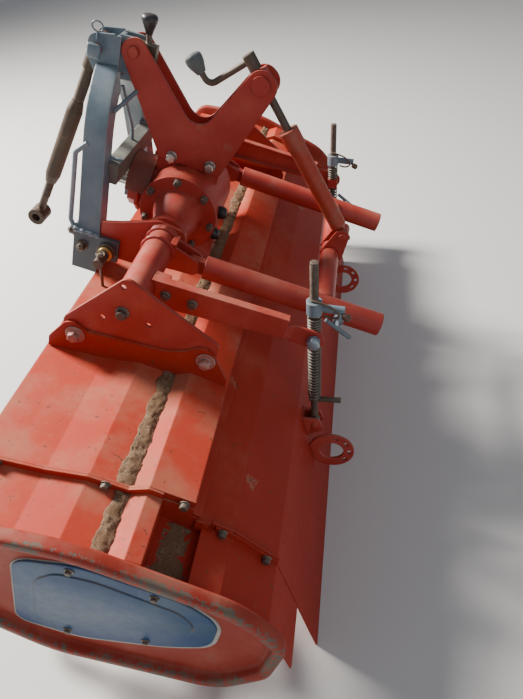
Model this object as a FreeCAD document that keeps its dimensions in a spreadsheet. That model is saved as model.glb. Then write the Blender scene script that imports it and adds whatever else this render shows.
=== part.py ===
import FreeCAD, Part
import math
import os
import Sketcher

# Rotary tiller for a three-point hitch, 1.7 m wide, in millimetres.
#
# Every piece is drawn in the working frame: the origin is the middle of the axle line, the
# line through the gearbox and the two axle tubes. X points forward to the tractor, Y to the
# left and Z up, with the two rear tubes level. The machine parks on its tines and on the lip
# of its rear cover, nose up, so each piece is then turned by the parked pitch and set down
# with the origin under the middle of the whole part.

Vector = FreeCAD.Vector
AXIS_X = Vector(1, 0, 0)
AXIS_Y = Vector(0, 1, 0)
AXIS_Z = Vector(0, 0, 1)
SIDES = (("left", 1), ("right", -1))

# Driving sizes: alias, value, what it is.
DRIVING = (
    ("half_width", 850, "half of the overall width, at the side plates' rims"),
    ("pan_depth", 24, "depth of a side plate, face to rim"),
    ("pan_inner", "=half_width - pan_depth", "Y of a side plate's inner face"),
    ("rotor_gap", 20, "distance from a rotor's end to the side plate"),
    ("flap_gap", 6, "distance from the rear cover's end to the side plate"),
    ("cover_end_width", 111, "width of a cover end, from the main cover to the side plate"),
    ("cover_end_y", "=pan_inner - cover_end_width", "Y of the main covers' ends"),
    ("axle_radius", 30.25, "outside radius of the axle tubes"),
    ("axle_wall", 4.5, "wall of the axle tubes"),
    ("case_radius", 86, "radius of the gearbox's round sides"),
    ("case_half", 75, "half width of the gearbox"),
    ("case_flange", 11, "thickness of the side housings' flanges"),
    ("housing_end", 186, "Y where a side housing ends and an axle tube starts"),
    ("housing_root_radius", 56, "radius of a side housing's cone at its flange"),
    ("housing_neck_radius", 37, "radius of a side housing's neck"),
    ("housing_cone_end", 148, "Y where a side housing's cone ends"),
    ("collar_radius", 43, "radius of the collar on a side housing's end"),
    ("snout_half", 50, "half width of the eight-sided input snout"),
    ("snout_corner", 28, "size of the snout's cut corners"),
    ("snout_end", 126, "front end of the input snout"),
    ("snout_flange_wall", 7, "thickness of the two flanges round the input snout"),
    ("snout_flange_lip", 7, "height of the two flanges round the input snout"),
    ("input_shaft_radius", 17.4, "radius of the splined input shaft"),
    ("input_shaft_length", 92, "length of the splined input shaft"),
    ("guard_radius", 68, "outside radius of the input shaft's half-round guard"),
    ("guard_wall", 3, "wall of the input shaft's guard"),
    ("guard_start", 78, "rear end of the input shaft's guard"),
    ("guard_end", 129, "front end of the input shaft's guard"),
    ("lug_half", 20, "half width of the gearbox's top lug, between the mast plates"),
    ("drive_case_half", 31, "half thickness of the drive case"),
    ("drive_case_radius", 72, "radius of the drive case round the rotor shaft"),
    ("rotor_x", -60, "rotor axis, forward"),
    ("rotor_z", -370, "rotor axis, up"),
    ("tine_radius", 240, "radius of the tine tips"),
    ("shaft_radius", 25, "radius of the rotor shaft in its bearing"),
    ("rotor_tube_radius", 31, "outside radius of the rotor tubes"),
    ("rotor_hub_half", 50, "half width of the drive case's bearing hub"),
    ("rotor_end", "=pan_inner - rotor_gap", "Y of a rotor's outer end"),
    ("tine_thickness", 9, "thickness of a tine"),
    ("tine_width", 46, "width of a tine's shank"),
    ("tine_sweep", 62, "sideways reach of a tine's tip"),
    ("tine_stations", 10, "pairs of tines on each rotor"),
    ("holder_radius", 52, "radius of the round plates that hold the tines"),
    ("holder_wall", 10, "thickness of the round plates that hold the tines"),
    ("bracket_face", 443, "Y of the bracket plates' inner faces"),
    ("plate_wall", 6, "thickness of the bracket and mast plates"),
    ("cover_wall", 4, "sheet thickness of the top cover"),
    ("cover_flange", 12, "height of the covers' end flanges"),
    ("pan_wall", 5, "sheet thickness of a side plate"),
    ("pan_rim", 20, "width of a side plate's rolled rim"),
    ("panel_wall", 4, "thickness of a side panel"),
    ("panel_field", 2.5, "height of a side panel's raised field"),
    ("field_margin", 27, "distance from a side panel's edge to its raised field"),
    ("flap_wall", 3.5, "sheet thickness of the rear cover"),
    ("flap_end_y", "=pan_inner - flap_gap", "Y of the rear cover's outer ends"),
    ("hinge_x", -226, "rear cover hinge, forward"),
    ("hinge_z", -147, "rear cover hinge, up"),
    ("hinge_pin_radius", 5, "radius of the rear cover's hinge pins"),
    ("knuckle_radius", 9, "outside radius of the hinge knuckles"),
    ("knuckle_length", 50, "length of a hinge knuckle"),
    ("running_clearance", 0.05, "radial clearance of pins in their holes"),
    ("lip_x", -540, "rear cover's lip, forward"),
    ("lip_z", -448, "rear cover's lip, up"),
    ("mast_gap", 20, "Y of the mast plates' inner faces"),
    ("mast_front_x", 156, "front pin of the mast plates, forward"),
    ("mast_front_z", 277, "front pin of the mast plates, up"),
    ("mast_rear_x", -98, "strut trunnion in the mast plates, forward"),
    ("mast_rear_z", 297, "strut trunnion in the mast plates, up"),
    ("mast_front_radius", 24, "end radius of the mast plates' front arms"),
    ("mast_rear_radius", 29, "end radius of the mast plates' rear arms"),
    ("head_wall", 8, "thickness of the mast head's plates"),
    ("mast_pin_radius", 10, "radius of the mast plates' front pin"),
    ("lock_knob_z", 310, "foot of the release lever's knob, up"),
    ("head_half", 30, "half width of the mast head at the top link pin"),
    ("top_pin_x", 227, "top link pin, forward"),
    ("top_pin_z", 261, "top link pin, up"),
    ("top_pin_radius", 9.5, "radius of the top link pin"),
    ("top_link_length", 452, "top link, eye to eye"),
    ("top_link_lean", 15.4, "lean of the top link forward from straight down, degrees"),
    ("top_link_offset", 9.5, "the top link's rod passes this far in front of its upper pin"),
    ("barrel_radius", 17, "outside radius of the top link's barrel"),
    ("barrel_start", 134, "from the upper pin to the barrel"),
    ("barrel_end", 350, "from the upper pin to the barrel's far end"),
    ("leg_width", 46, "width of the mast legs' square tube, fore and aft"),
    ("leg_depth", 40, "depth of the mast legs' square tube, sideways"),
    ("leg_bend", 180, "bending radius of the mast legs"),
    ("beam_x", 144.5, "cross beam between the mast legs, forward"),
    ("beam_z", 67, "cross beam between the mast legs, up"),
    ("beam_depth", 28, "cross beam, fore and aft"),
    ("beam_length", 260, "cross beam, end to end"),
    ("beam_height", 42, "height of the cross beam"),
    ("sleeve_x", 158.5, "middle of the hitch feet's sleeves, forward"),
    ("sleeve_y", 175, "middle of the hitch feet's sleeves, sideways"),
    ("sleeve_z", -89.5, "middle of the hitch feet's sleeves, up"),
    ("sleeve_depth", 55, "hitch feet's sleeves, fore and aft"),
    ("sleeve_width", 50, "hitch feet's sleeves, sideways"),
    ("sleeve_height", 95, "height of the hitch feet's sleeves"),
    ("lower_pin_x", 111, "lower link pins, forward"),
    ("lower_pin_z", -66, "lower link pins, up"),
    ("lower_pin_radius", 11, "radius of the lower link pins"),
    ("lower_pin_end", 262, "Y of the lower link pins' ends"),
    ("foot_tab_wall", 10, "thickness of the hitch feet's pin tabs"),
    ("hitch_plate_face", 186, "Y of the hitch plates' inner faces"),
    ("hitch_plate_wall", 10, "thickness of the hitch plates"),
    ("hanger_y", 342, "Y of the hanger rods"),
    ("hanger_x", -342, "hanger trunnions, forward"),
    ("hanger_z", 0, "hanger trunnions, up"),
    ("hanger_rod_radius", 7.5, "radius of the hanger rods"),
    ("hanger_reach", 243, "from a hanger trunnion down to the rod's eye"),
    ("hanger_top", 162, "from a hanger trunnion up to the rod's top"),
    ("hanger_cross_pin", 176, "from a hanger trunnion down to the cross pin"),
    ("lug_pin_radius", 5, "radius of the pins in the rear cover's lugs"),
    ("lug_pin_play", 3.4, "radial play of the rods' eyes, where the linkage is opened"),
    ("quadrant_x", -484, "middle of the rear cover's quadrants, forward"),
    ("quadrant_z", -276, "middle of the rear cover's quadrants, up"),
    ("quadrant_radius", 50, "outside radius of the quadrants"),
    ("quadrant_bore", 27, "inside radius of the quadrants"),
    ("spring_radius", 14, "outside radius of the hanger springs"),
    ("spring_wire", 4, "wire of the hanger springs"),
    ("upper_spring", 36, "length of the upper hanger springs"),
    ("rod_eye_radius", 12, "radius of the hanger rods' eyes"),
    ("trunnion_pin_radius", 8, "radius of the hanger trunnions' pins"),
    ("trunnion_half", 13, "half size of the hanger trunnions"),
    ("arm_wall", 4.5, "wall of the hanger arms"),
    ("arm_joggle", 6, "sideways step between a hanger arm and its eye plate"),
    ("arm_lip", 18, "width of a hanger arm's lips"),
    ("tube_y", 224, "Y of the rear tubes"),
    ("tube_z", -14, "height of the rear tubes"),
    ("tube_radius", 24.3, "outside radius of the rear tubes"),
    ("tube_wall", 3.2, "wall of the rear tubes"),
    ("tube_front", -98, "front end of the rear tubes"),
    ("tube_rear", -483, "rear end of the rear tubes"),
    ("frame_pivot_x", -72, "pivots of the rear frame, forward"),
    ("frame_pin_radius", 8, "radius of the rear frame's pivot pins"),
    ("cross_tube_x", -359, "cross tube of the rear frame"),
    ("cross_tube_radius", 21.35, "outside radius of the cross tube"),
    ("strut_foot_x", -368, "strut's lower pin, forward"),
    ("strut_foot_z", 42, "strut's lower pin, up"),
    ("strut_pin_radius", 7.5, "radius of the strut's lower pin"),
    ("strut_pin_play", 3, "radial play of the strut's lower eye, where the linkage is opened"),
    ("strut_tube_radius", 18.5, "outside radius of the depth strut's tube"),
    ("strut_screw_radius", 8.5, "radius of the depth strut's screw"),
    ("strut_stub_radius", 12, "radius of the strut trunnion's two stubs"),
    ("strut_collar_start", 106, "from the trunnion to the strut tube's collar"),
    ("strut_trunnion_half", 19, "half width of the strut's trunnion block"),
)

# Corners of the plates in side view: name, forward, up, corner radius.
OUTLINES = {
    "top_cover": (
        ("front_skirt", 130, -152, 0),
        ("front_edge", 130, -128, 0),
        ("front_rise", 20, -116, 0),
        ("groove_front", -46, -101, 0),
        ("groove_foot", -110, -105, 0),
        ("ridge", -139, -87, 0),
        ("rear_edge", -213, -94, 0),
        ("rear_skirt", -213, -112, 0),
        ("rear_lip", -228, -115, 0),
    ),
    "cover_end_rear": (
        ("edge", -163, -90, 0),
        ("wall_foot", -168, -138, 0),
        ("floor_end", -246, -156, 0),
    ),
    "flap": (
        ("root", -220.5, -130, 0),
        ("shoulder", -285, -142, 0),
        ("knee", -374, -186, 0),
        ("heel", -512, -404, 0),
    ),
    "flap_end": (
        ("root", -234, -134, 0),
        ("shoulder", -285, -144, 0),
        ("knee", -374, -188, 0),
        ("corner", -452, -311, 0),
    ),
    "bracket_arch": (
        ("front_low", 127, -126, 0),
        ("front_high", 127, -104, 6),
        ("front_ear", 92, -46, 20),
        ("front_dip", 58, -66, 26),
        ("middle", -84, -54, 90),
        ("rear_dip", -118, -40, 30),
        ("rear_ear", -158, -10, 24),
        ("rear_high", -206, -78, 6),
        ("rear_low", -208, -92, 0),
    ),
    "bracket_plate": (
        ("top", 4, 76, 16),
        ("front", 104, -52, 16),
        ("front_low", 104, -94, 4),
        ("rear_low", -176, -70, 4),
        ("rear", -176, -8, 14),
    ),
    "side_plate": (
        ("front_top", 150, -106, 50),
        ("top", -60, -68, 320),
        ("top_rear", -322, -112, 170),
        ("rear_top", -408, -186, 55),
        ("rear_low", -414, -304, 60),
        ("heel", -352, -412, 80),
        ("bottom", -62, -436, 160),
        ("front_low", 96, -366, 110),
        ("front", 168, -240, 70),
    ),
    "side_panel": (
        ("front_top", 12, -184, 30),
        ("top_front", 4, -158, 14),
        ("top", -88, -116, 60),
        ("top_rear", -248, -136, 60),
        ("rear", -304, -220, 46),
        ("rear_low", -296, -292, 44),
        ("bottom", -66, -386, 70),
        ("front_low", 8, -356, 20),
        ("front", 15, -300, 60),
    ),
    "hitch_plate": (
        ("rear", -42, 30, 12),
        ("top", 16, 37, 20),
        ("front_top", 92, 5, 30),
        ("sleeve_top", 131, -8, 0),
        ("sleeve_low", 131, -84, 0),
        ("low", 58, -84, 24),
        ("rear_low", -42, -40, 20),
    ),
    "mast_head": (
        ("front_top", 247, 285, 20),
        ("rear_top", 190, 298, 8),
        ("rear_low", 190, 204, 4),
        ("low", 222, 204, 6),
        ("front_low", 244, 240, 14),
    ),
    "head_tongue": (
        ("front_top", 190, 298, 4),
        ("rear_top", 134, 301, 20),
        ("rear_low", 134, 250, 20),
        ("front_low", 190, 222, 4),
    ),
}

# Stations of the hinge knuckles along the rear cover: Y of a knuckle on the top cover, and
# Y of its neighbour on the rear cover.
KNUCKLES = ((-660, -600), (-400, -340), (-120, -60), (120, 60), (400, 340), (660, 600))


class Size:
    """A length together with the sheet formula that it came from, if any."""

    def __init__(self, number, formula=None):
        self.number = float(number)
        self.formula = formula

    @staticmethod
    def of(value):
        return value if isinstance(value, Size) else Size(value)

    @staticmethod
    def join(first, sign, second, number):
        if first.formula is None and second.formula is None:
            return Size(number)
        left = first.formula or repr(first.number)
        right = second.formula or repr(second.number)
        return Size(number, "(%s %s %s)" % (left, sign, right))

    def __add__(self, other):
        other = Size.of(other)
        return Size.join(self, "+", other, self.number + other.number)

    def __radd__(self, other):
        return Size.of(other) + self

    def __sub__(self, other):
        other = Size.of(other)
        return Size.join(self, "-", other, self.number - other.number)

    def __rsub__(self, other):
        return Size.of(other) - self

    def __mul__(self, other):
        other = Size.of(other)
        return Size.join(self, "*", other, self.number * other.number)

    def __rmul__(self, other):
        return self * other

    def __neg__(self):
        return Size(0) - self

    def __float__(self):
        return self.number


class Sheet:
    """The spreadsheet of driving sizes, read as attributes that are Size objects."""

    def __init__(self, document):
        self.cells = document.addObject("Spreadsheet::Sheet", "Sizes")
        self.row = 0
        for alias, number, note in DRIVING:
            self.write(alias, number, note)
        for outline, corners in OUTLINES.items():
            for name, forward, up, radius in corners:
                stem = "%s_%s" % (outline, name)
                self.write(stem + "_fore", forward, "corner, forward")
                self.write(stem + "_rise", up, "corner, up")
                if radius:
                    self.write(stem + "_round", radius, "corner, radius")
        document.recompute()

    def write(self, alias, number, note):
        self.row += 1
        self.cells.set("A%d" % self.row, alias)
        self.cells.set("B%d" % self.row, str(number))
        self.cells.set("C%d" % self.row, note)
        self.cells.setAlias("B%d" % self.row, alias)

    def __getattr__(self, alias):
        return Size(self.cells.get(alias), "Sizes." + alias)

    def outline(self, name):
        """The named outline's corners as (forward, up, radius)."""
        corners = []
        for corner, _, _, radius in OUTLINES[name]:
            stem = "%s_%s" % (name, corner)
            rounding = getattr(self, stem + "_round") if radius else 0
            corners.append((getattr(self, stem + "_fore"), getattr(self, stem + "_rise"), rounding))
        return corners


doc = FreeCAD.newDocument("rotary_tiller")
size = Sheet(doc)
nodes = []


# Sketches

def origin_plane(body, role):
    return next(feature for feature in body.Origin.OriginFeatures if feature.Role == role)


def new_sketch(body, name, role, offset=0):
    """A sketch on a plane of the body's origin, moved along the plane's normal."""
    sketch = body.newObject("Sketcher::SketchObject", name)
    sketch.AttachmentSupport = [(origin_plane(body, role), "")]
    sketch.MapMode = "FlatFace"
    offset = Size.of(offset)
    sketch.AttachmentOffset = FreeCAD.Placement(Vector(0, 0, offset.number), FreeCAD.Rotation())
    if offset.formula:
        sketch.setExpression("AttachmentOffset.Base.z", offset.formula)
    return sketch


def constrain(sketch, kind, *arguments):
    """Adds a sketch constraint and ties its value to the sheet."""
    value = Size.of(arguments[-1])
    index = sketch.addConstraint(Sketcher.Constraint(kind, *arguments[:-1], value.number))
    if value.formula:
        sketch.setExpression("Constraints[%d]" % index, value.formula)


def pin_point(sketch, geometry, vertex, across, up):
    constrain(sketch, "DistanceX", -1, 1, geometry, vertex, across)
    constrain(sketch, "DistanceY", -1, 1, geometry, vertex, up)


def rounding(before, corner, after, radius):
    """Start, end and centre of the arc that rounds a corner."""
    back = (before - corner).normalize()
    ahead = (after - corner).normalize()
    half = back.getAngle(ahead) / 2
    reach = radius / math.tan(half)
    centre = corner + (back + ahead).normalize() * (radius / math.sin(half))
    return corner + back * reach, corner + ahead * reach, centre


def draw_outline(sketch, corners):
    """A closed outline of lines; a corner with a radius is rounded by a tangent arc."""
    points = [Vector(float(across), float(up), 0) for across, up, _ in corners]
    radii = [float(radius) for _, _, radius in corners]
    joints = []
    for index, point in enumerate(points):
        if radii[index]:
            after = points[(index + 1) % len(points)]
            joints.append(rounding(points[index - 1], point, after, radii[index]))
        else:
            joints.append((point, point, None))
    lines = []
    for index in range(len(points)):
        start = joints[index][1]
        end = joints[(index + 1) % len(points)][0]
        lines.append(sketch.addGeometry(Part.LineSegment(start, end)))
    for index, (across, up, radius) in enumerate(corners):
        before, line = lines[index - 1], lines[index]
        start, end, centre = joints[index]
        if centre is None:
            sketch.addConstraint(Sketcher.Constraint("Coincident", before, 2, line, 1))
            pin_point(sketch, line, 1, across, up)
            continue
        circle = Part.Circle(centre, AXIS_Z, radii[index])
        turn = (start - centre).cross(end - centre).z
        first, last = (start, end) if turn > 0 else (end, start)
        angles = [math.atan2((p - centre).y, (p - centre).x) for p in (first, last)]
        arc = sketch.addGeometry(Part.ArcOfCircle(circle, angles[0], angles[1]))
        arc_start, arc_end = (1, 2) if turn > 0 else (2, 1)
        sketch.addConstraint(Sketcher.Constraint("Tangent", before, 2, arc, arc_start))
        sketch.addConstraint(Sketcher.Constraint("Tangent", arc, arc_end, line, 1))
        constrain(sketch, "Radius", arc, radius)
        corner = sketch.addGeometry(Part.Point(points[index]), True)
        sketch.addConstraint(Sketcher.Constraint("PointOnObject", corner, 1, before))
        sketch.addConstraint(Sketcher.Constraint("PointOnObject", corner, 1, line))
        pin_point(sketch, corner, 1, across, up)


def draw_circle(sketch, across, up, radius):
    centre = Vector(float(across), float(up), 0)
    circle = sketch.addGeometry(Part.Circle(centre, AXIS_Z, float(radius)))
    constrain(sketch, "Radius", circle, radius)
    pin_point(sketch, circle, 3, across, up)


# PartDesign features

def new_body(label):
    body = doc.addObject("PartDesign::Body", label)
    nodes.append(body)
    return body


def set_length(feature, length):
    length = Size.of(length)
    feature.Length = length.number
    if length.formula:
        feature.setExpression("Length", length.formula)


def slab(body, name, corners, low, high, holes=()):
    """Adds a plate that is drawn in side view and spans Y from low to high."""
    sketch = new_sketch(body, name + "_outline", "XZ_Plane", -Size.of(high))
    draw_outline(sketch, corners)
    for across, up, radius in holes:
        draw_circle(sketch, across, up, radius)
    feature = body.newObject("PartDesign::Pad", name)
    feature.Profile = sketch
    set_length(feature, Size.of(high) - low)
    return feature


def disc(body, name, across, up, radius, low, high, bore=None):
    """Adds a round boss along Y."""
    sketch = new_sketch(body, name + "_circle", "XZ_Plane", -Size.of(high))
    draw_circle(sketch, across, up, radius)
    if bore is not None:
        draw_circle(sketch, across, up, bore)
    feature = body.newObject("PartDesign::Pad", name)
    feature.Profile = sketch
    set_length(feature, Size.of(high) - low)
    return feature


def trench(body, name, corners, low, high):
    """Cuts an outline drawn in side view, from Y high down to low."""
    sketch = new_sketch(body, name + "_outline", "XZ_Plane", -Size.of(high))
    draw_outline(sketch, corners)
    feature = body.newObject("PartDesign::Pocket", name)
    feature.Profile = sketch
    feature.Reversed = True
    set_length(feature, Size.of(high) - low)
    return feature


def bore(body, name, across, up, radius, low, high):
    """Cuts a round hole along Y."""
    sketch = new_sketch(body, name + "_circle", "XZ_Plane", -Size.of(high))
    draw_circle(sketch, across, up, radius)
    feature = body.newObject("PartDesign::Pocket", name)
    feature.Profile = sketch
    feature.Reversed = True
    set_length(feature, Size.of(high) - low)
    return feature


def block(body, name, role, corners, offset, length, cut=False):
    """A pad or pocket of an outline on any origin plane, along the plane's normal."""
    sketch = new_sketch(body, name + "_outline", role, offset)
    draw_outline(sketch, corners)
    feature = body.newObject("PartDesign::Pocket" if cut else "PartDesign::Pad", name)
    feature.Profile = sketch
    feature.Reversed = cut
    set_length(feature, length)
    return feature


def rectangle(low_across, low_up, high_across, high_up, radius=0):
    return [
        (low_across, low_up, radius),
        (high_across, low_up, radius),
        (high_across, high_up, radius),
        (low_across, high_up, radius),
    ]


def span(side, near, far):
    """The Y limits, low then high, of a piece that lies from near to far on one side."""
    return (near, far) if side > 0 else (-Size.of(far), -Size.of(near))


# Part primitives and booleans

def placed(start, direction):
    return FreeCAD.Placement(start, FreeCAD.Rotation(AXIS_Z, direction))


def primitive(kind, name, placement, **sizes):
    feature = doc.addObject("Part::" + kind, name)
    for key, value in sizes.items():
        value = Size.of(value)
        setattr(feature, key, value.number)
        if value.formula:
            feature.setExpression(key, value.formula)
    feature.Placement = placement
    return feature


def rod(name, radius, start, end):
    """A round bar from start to end."""
    start, end = Vector(*map(float, start)), Vector(*map(float, end))
    return primitive("Cylinder", name, placed(start, end - start), Radius=radius,
                     Height=(end - start).Length)


def brick(name, centre, length, width, height, turn=None):
    """A box about a centre point, with a turn about that point."""
    turn = turn or FreeCAD.Rotation()
    corner = Vector(-float(length) / 2, -float(width) / 2, -float(height) / 2)
    centre = Vector(*map(float, centre))
    return primitive("Box", name, FreeCAD.Placement(centre + turn.multVec(corner), turn),
                     Length=length, Width=width, Height=height)


def fused(name, shapes):
    feature = doc.addObject("Part::MultiFuse", name)
    feature.Shapes = shapes
    return feature


def cut(name, base, tool):
    feature = doc.addObject("Part::Cut", name)
    feature.Base = base
    feature.Tool = tool
    return feature


def grouped(name, shapes):
    """Like pieces of one body that don't touch, kept as separate solids of one node."""
    feature = doc.addObject("Part::Compound", name)
    feature.Links = shapes
    return feature


def solid(name, shape):
    feature = doc.addObject("Part::Feature", name)
    feature.Shape = shape
    return feature


def keep(feature):
    nodes.append(feature)
    return feature


# Geometry helpers

def bent_path(points, radius):
    """A wire of straight runs joined by tangent arcs."""
    points = [Vector(*map(float, point)) for point in points]
    edges = []
    start = points[0]
    for before, corner, after in zip(points, points[1:], points[2:]):
        first, last, centre = rounding(before, corner, after, radius)
        middle = centre + (corner - centre).normalize() * radius
        edges.append(Part.LineSegment(start, first).toShape())
        edges.append(Part.Arc(first, middle, last).toShape())
        start = last
    edges.append(Part.LineSegment(start, points[-1]).toShape())
    return Part.Wire(edges)


def swept(path, profile):
    return path.makePipeShell([profile], True, False)


def bent_bar(points, radius, bend):
    """A round bar along straight runs and bends."""
    path = bent_path(points, bend)
    start = Vector(*map(float, points[0]))
    heading = Vector(*map(float, points[1])) - start
    return swept(path, Part.Wire(Part.Circle(start, heading, float(radius)).toShape()))


def side_view(forward, up, y=0):
    return Vector(float(forward), float(y), float(up))


def sheet_corners(points, wall):
    """Corners of a bent sheet whose outer face follows the points; the wall lies to the right
    of the way from the first point to the last."""
    points = [Vector(float(across), float(up), 0) for across, up in points]
    inner = []
    for index, point in enumerate(points):
        ways = []
        if index:
            ways.append((point - points[index - 1]).normalize())
        if index < len(points) - 1:
            ways.append((points[index + 1] - point).normalize())
        normals = [Vector(way.y, -way.x, 0) for way in ways]
        mitre = normals[0] + normals[-1]
        if len(ways) > 1:
            mitre = mitre * (float(wall) * 2 / mitre.Length ** 2)
        else:
            mitre = normals[0] * float(wall)
        inner.append(point + mitre)
    return [(point.x, point.y, 0) for point in points + inner[::-1]]


def inset_corners(corners, margin):
    """The corners of an outline drawn clockwise or anticlockwise, moved inwards."""
    points = [Vector(float(across), float(up), 0) for across, up, _ in corners]
    area = sum(a.x * b.y - b.x * a.y for a, b in zip(points, points[1:] + points[:1]))
    inwards = 1 if area > 0 else -1
    moved = []
    for index, point in enumerate(points):
        back = (point - points[index - 1]).normalize()
        ahead = (points[(index + 1) % len(points)] - point).normalize()
        normals = [Vector(-way.y, way.x, 0) * inwards for way in (back, ahead)]
        mitre = normals[0] + normals[1]
        offset = mitre * (2 * margin / mitre.Length ** 2)
        radius = max(float(corners[index][2]) - margin, 4)
        moved.append((point.x + offset.x, point.y + offset.y, radius))
    return moved


# Gearbox, drive case and axle line

def octagon(half, corner):
    """Corners of a square with its corners cut off, about the origin."""
    near = half - corner
    return [(half, near, 0), (near, half, 0), (-near, half, 0), (-half, near, 0),
            (-half, -near, 0), (-near, -half, 0), (near, -half, 0), (half, -near, 0)]


def build_gearbox():
    body = new_body("gearbox_case")
    disc(body, "case_barrel", 0, 0, size.case_radius, -size.case_half, size.case_half)
    block(body, "snout", "YZ_Plane", octagon(size.snout_half, size.snout_corner), 0, size.snout_end)
    lip = size.snout_half + size.snout_flange_lip
    for number, gap in enumerate((26, 41.5)):
        start = size.snout_end - gap
        block(body, "snout_flange_%d" % number, "YZ_Plane", octagon(lip, size.snout_corner), start,
              size.snout_flange_wall)
    lug = [(-60, 40, 0), (78, 40, 0), (78, 108, 8), (-60, 118, 8)]
    slab(body, "mast_lug", lug, -size.lug_half, size.lug_half)
    neck = [(size.drive_case_radius - 8, 0, 0), (size.drive_case_radius - 8, -96, 0),
            (-size.drive_case_radius - 14, -96, 0), (-size.drive_case_radius - 4, 0, 0)]
    slab(body, "lower_neck", neck, -size.drive_case_half - 8, size.drive_case_half + 8)


def build_drive_case():
    body = new_body("drive_case")
    radius = size.drive_case_radius
    corners = [
        (radius - 8, -96, 0),
        (size.rotor_x + radius, size.rotor_z - radius, radius - 1),
        (size.rotor_x - radius, size.rotor_z - radius, radius - 1),
        (-radius - 14, -96, 0),
    ]
    slab(body, "case_wall", corners, -size.drive_case_half, size.drive_case_half)
    disc(body, "bearing_hub", size.rotor_x, size.rotor_z, 56, -size.rotor_hub_half, size.rotor_hub_half)
    bore(body, "shaft_bore", size.rotor_x, size.rotor_z, size.shaft_radius + size.running_clearance,
         -size.rotor_hub_half, size.rotor_hub_half)


def build_side_housing(name, side):
    """A flanged cone that carries an axle tube, turned about the axle line."""
    body = new_body("side_housing_" + name)
    sketch = new_sketch(body, "housing_profile", "XY_Plane", 0)
    face = size.case_half
    stations = [
        (0, face),
        (size.case_radius, face),
        (size.case_radius, face + size.case_flange),
        (size.housing_root_radius, face + size.case_flange),
        (size.housing_neck_radius, size.housing_cone_end),
        (size.housing_neck_radius, size.housing_end - 16),
        (size.collar_radius, size.housing_end - 16),
        (size.collar_radius, size.housing_end),
        (0, size.housing_end),
    ]
    draw_outline(sketch, [(radius, station * side, 0) for radius, station in stations])
    feature = body.newObject("PartDesign::Revolution", "housing")
    feature.Profile = sketch
    feature.ReferenceAxis = (origin_plane(body, "Y_Axis"), [""])
    feature.Angle = 360


def build_axle_tube(name, side):
    near, far = float(size.housing_end) * side, float(size.bracket_face) * side
    outside = rod("axle_outside_" + name, size.axle_radius, (0, near, 0), (0, far, 0))
    inside = rod("axle_inside_" + name, size.axle_radius - size.axle_wall, (0, near, 0), (0, far, 0))
    keep(cut("axle_tube_" + name, outside, inside))


def build_bracket_plate(name, side):
    body = new_body("bracket_plate_" + name)
    low, high = span(side, size.bracket_face, size.bracket_face + size.plate_wall)
    holes = [(7, 55, 5), (36, -24, 5), (-46, -10, 5), (79, -79, 7), (-160, -46, 7)]
    slab(body, "plate", size.outline("bracket_plate"), low, high, holes)


def build_hitch_plate(name, side):
    body = new_body("hitch_plate_" + name)
    low, high = span(side, size.hitch_plate_face, size.hitch_plate_face + size.hitch_plate_wall)
    holes = [(0, 0, size.axle_radius), (size.lower_pin_x, size.lower_pin_z, size.lower_pin_radius)]
    slab(body, "plate", size.outline("hitch_plate"), low, high, holes)


# Covers

def cover_points():
    return [(across, up) for across, up, _ in size.outline("top_cover")]


def flange_corners(points, height, wall):
    """A flange that stands on a bent sheet's outer face and reaches through its wall."""
    top = [(float(across), float(up) + height, 0) for across, up in points]
    foot = [(float(across), float(up) - wall, 0) for across, up in points]
    return top + foot[::-1]


def build_top_cover():
    body = new_body("top_cover")
    end = size.cover_end_y
    slab(body, "sheet", sheet_corners(cover_points(), -float(size.cover_wall)), -end, end)
    top = cover_points()[1:-2]
    for name, side in SIDES:
        low, high = span(side, end - size.cover_wall, end)
        slab(body, "end_flange_" + name, flange_corners(top, float(size.cover_flange), 2), low, high)
        low, high = span(side, size.bracket_face + size.plate_wall,
                         size.bracket_face + size.plate_wall * 2)
        arch = size.outline("bracket_arch")
        foot = [(-140, -89, 0), (-110, -107, 0), (-46, -103, 0), (20, -118, 0)]
        slab(body, "bracket_arch_" + name, arch + foot, low, high, [(79, -79, 7), (-160, -46, 7)])
    slot = rectangle(-100, -60, 78, 60)
    block(body, "case_slot", "XY_Plane", slot, -140, 80, cut=True)
    skirt = size.outline("top_cover")[-2][0]
    reach = size.knuckle_radius + 2
    for main_y, _ in KNUCKLES:
        half = size.knuckle_length * 0.5
        low = size.hinge_z - reach
        tab = [(skirt + 4, -108, 0), (skirt + 12, -102, 0), (skirt + 12, low, 0), (size.hinge_x, low, 0),
               (size.hinge_x, low + 7, 0), (skirt + 4, low + 7, 0)]
        slab(body, "hinge_tab_%d" % main_y, tab, main_y - half, main_y + half)
        disc(body, "hinge_knuckle_%d" % main_y, size.hinge_x, size.hinge_z, size.knuckle_radius,
             main_y - half, main_y + half)
        bore(body, "hinge_bore_%d" % main_y, size.hinge_x, size.hinge_z, size.hinge_pin_radius,
             main_y - half, main_y + half)


def build_cover_end(name, side):
    body = new_body("cover_end_" + name)
    low, high = span(side, size.cover_end_y, size.pan_inner)
    points = cover_points()[:6] + [(across, up) for across, up, _ in size.outline("cover_end_rear")]
    slab(body, "sheet", sheet_corners(points, -float(size.cover_wall)), low, high)
    top = points[1:7]
    low, high = span(side, size.cover_end_y, size.cover_end_y + size.cover_wall)
    slab(body, "flange", flange_corners(top, float(size.cover_flange), 2), low, high)


def build_side_plate(name, side):
    """A dished plate: a flat face with a thick rolled rim that stands outwards."""
    body = new_body("side_plate_" + name)
    corners = size.outline("side_plate")
    low, high = span(side, size.pan_inner, size.half_width)
    slab(body, "pan", corners, low, high)
    low, high = span(side, size.pan_inner + size.pan_wall, size.half_width)
    trench(body, "dish", inset_corners(corners, float(size.pan_rim)), low, high)


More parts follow.
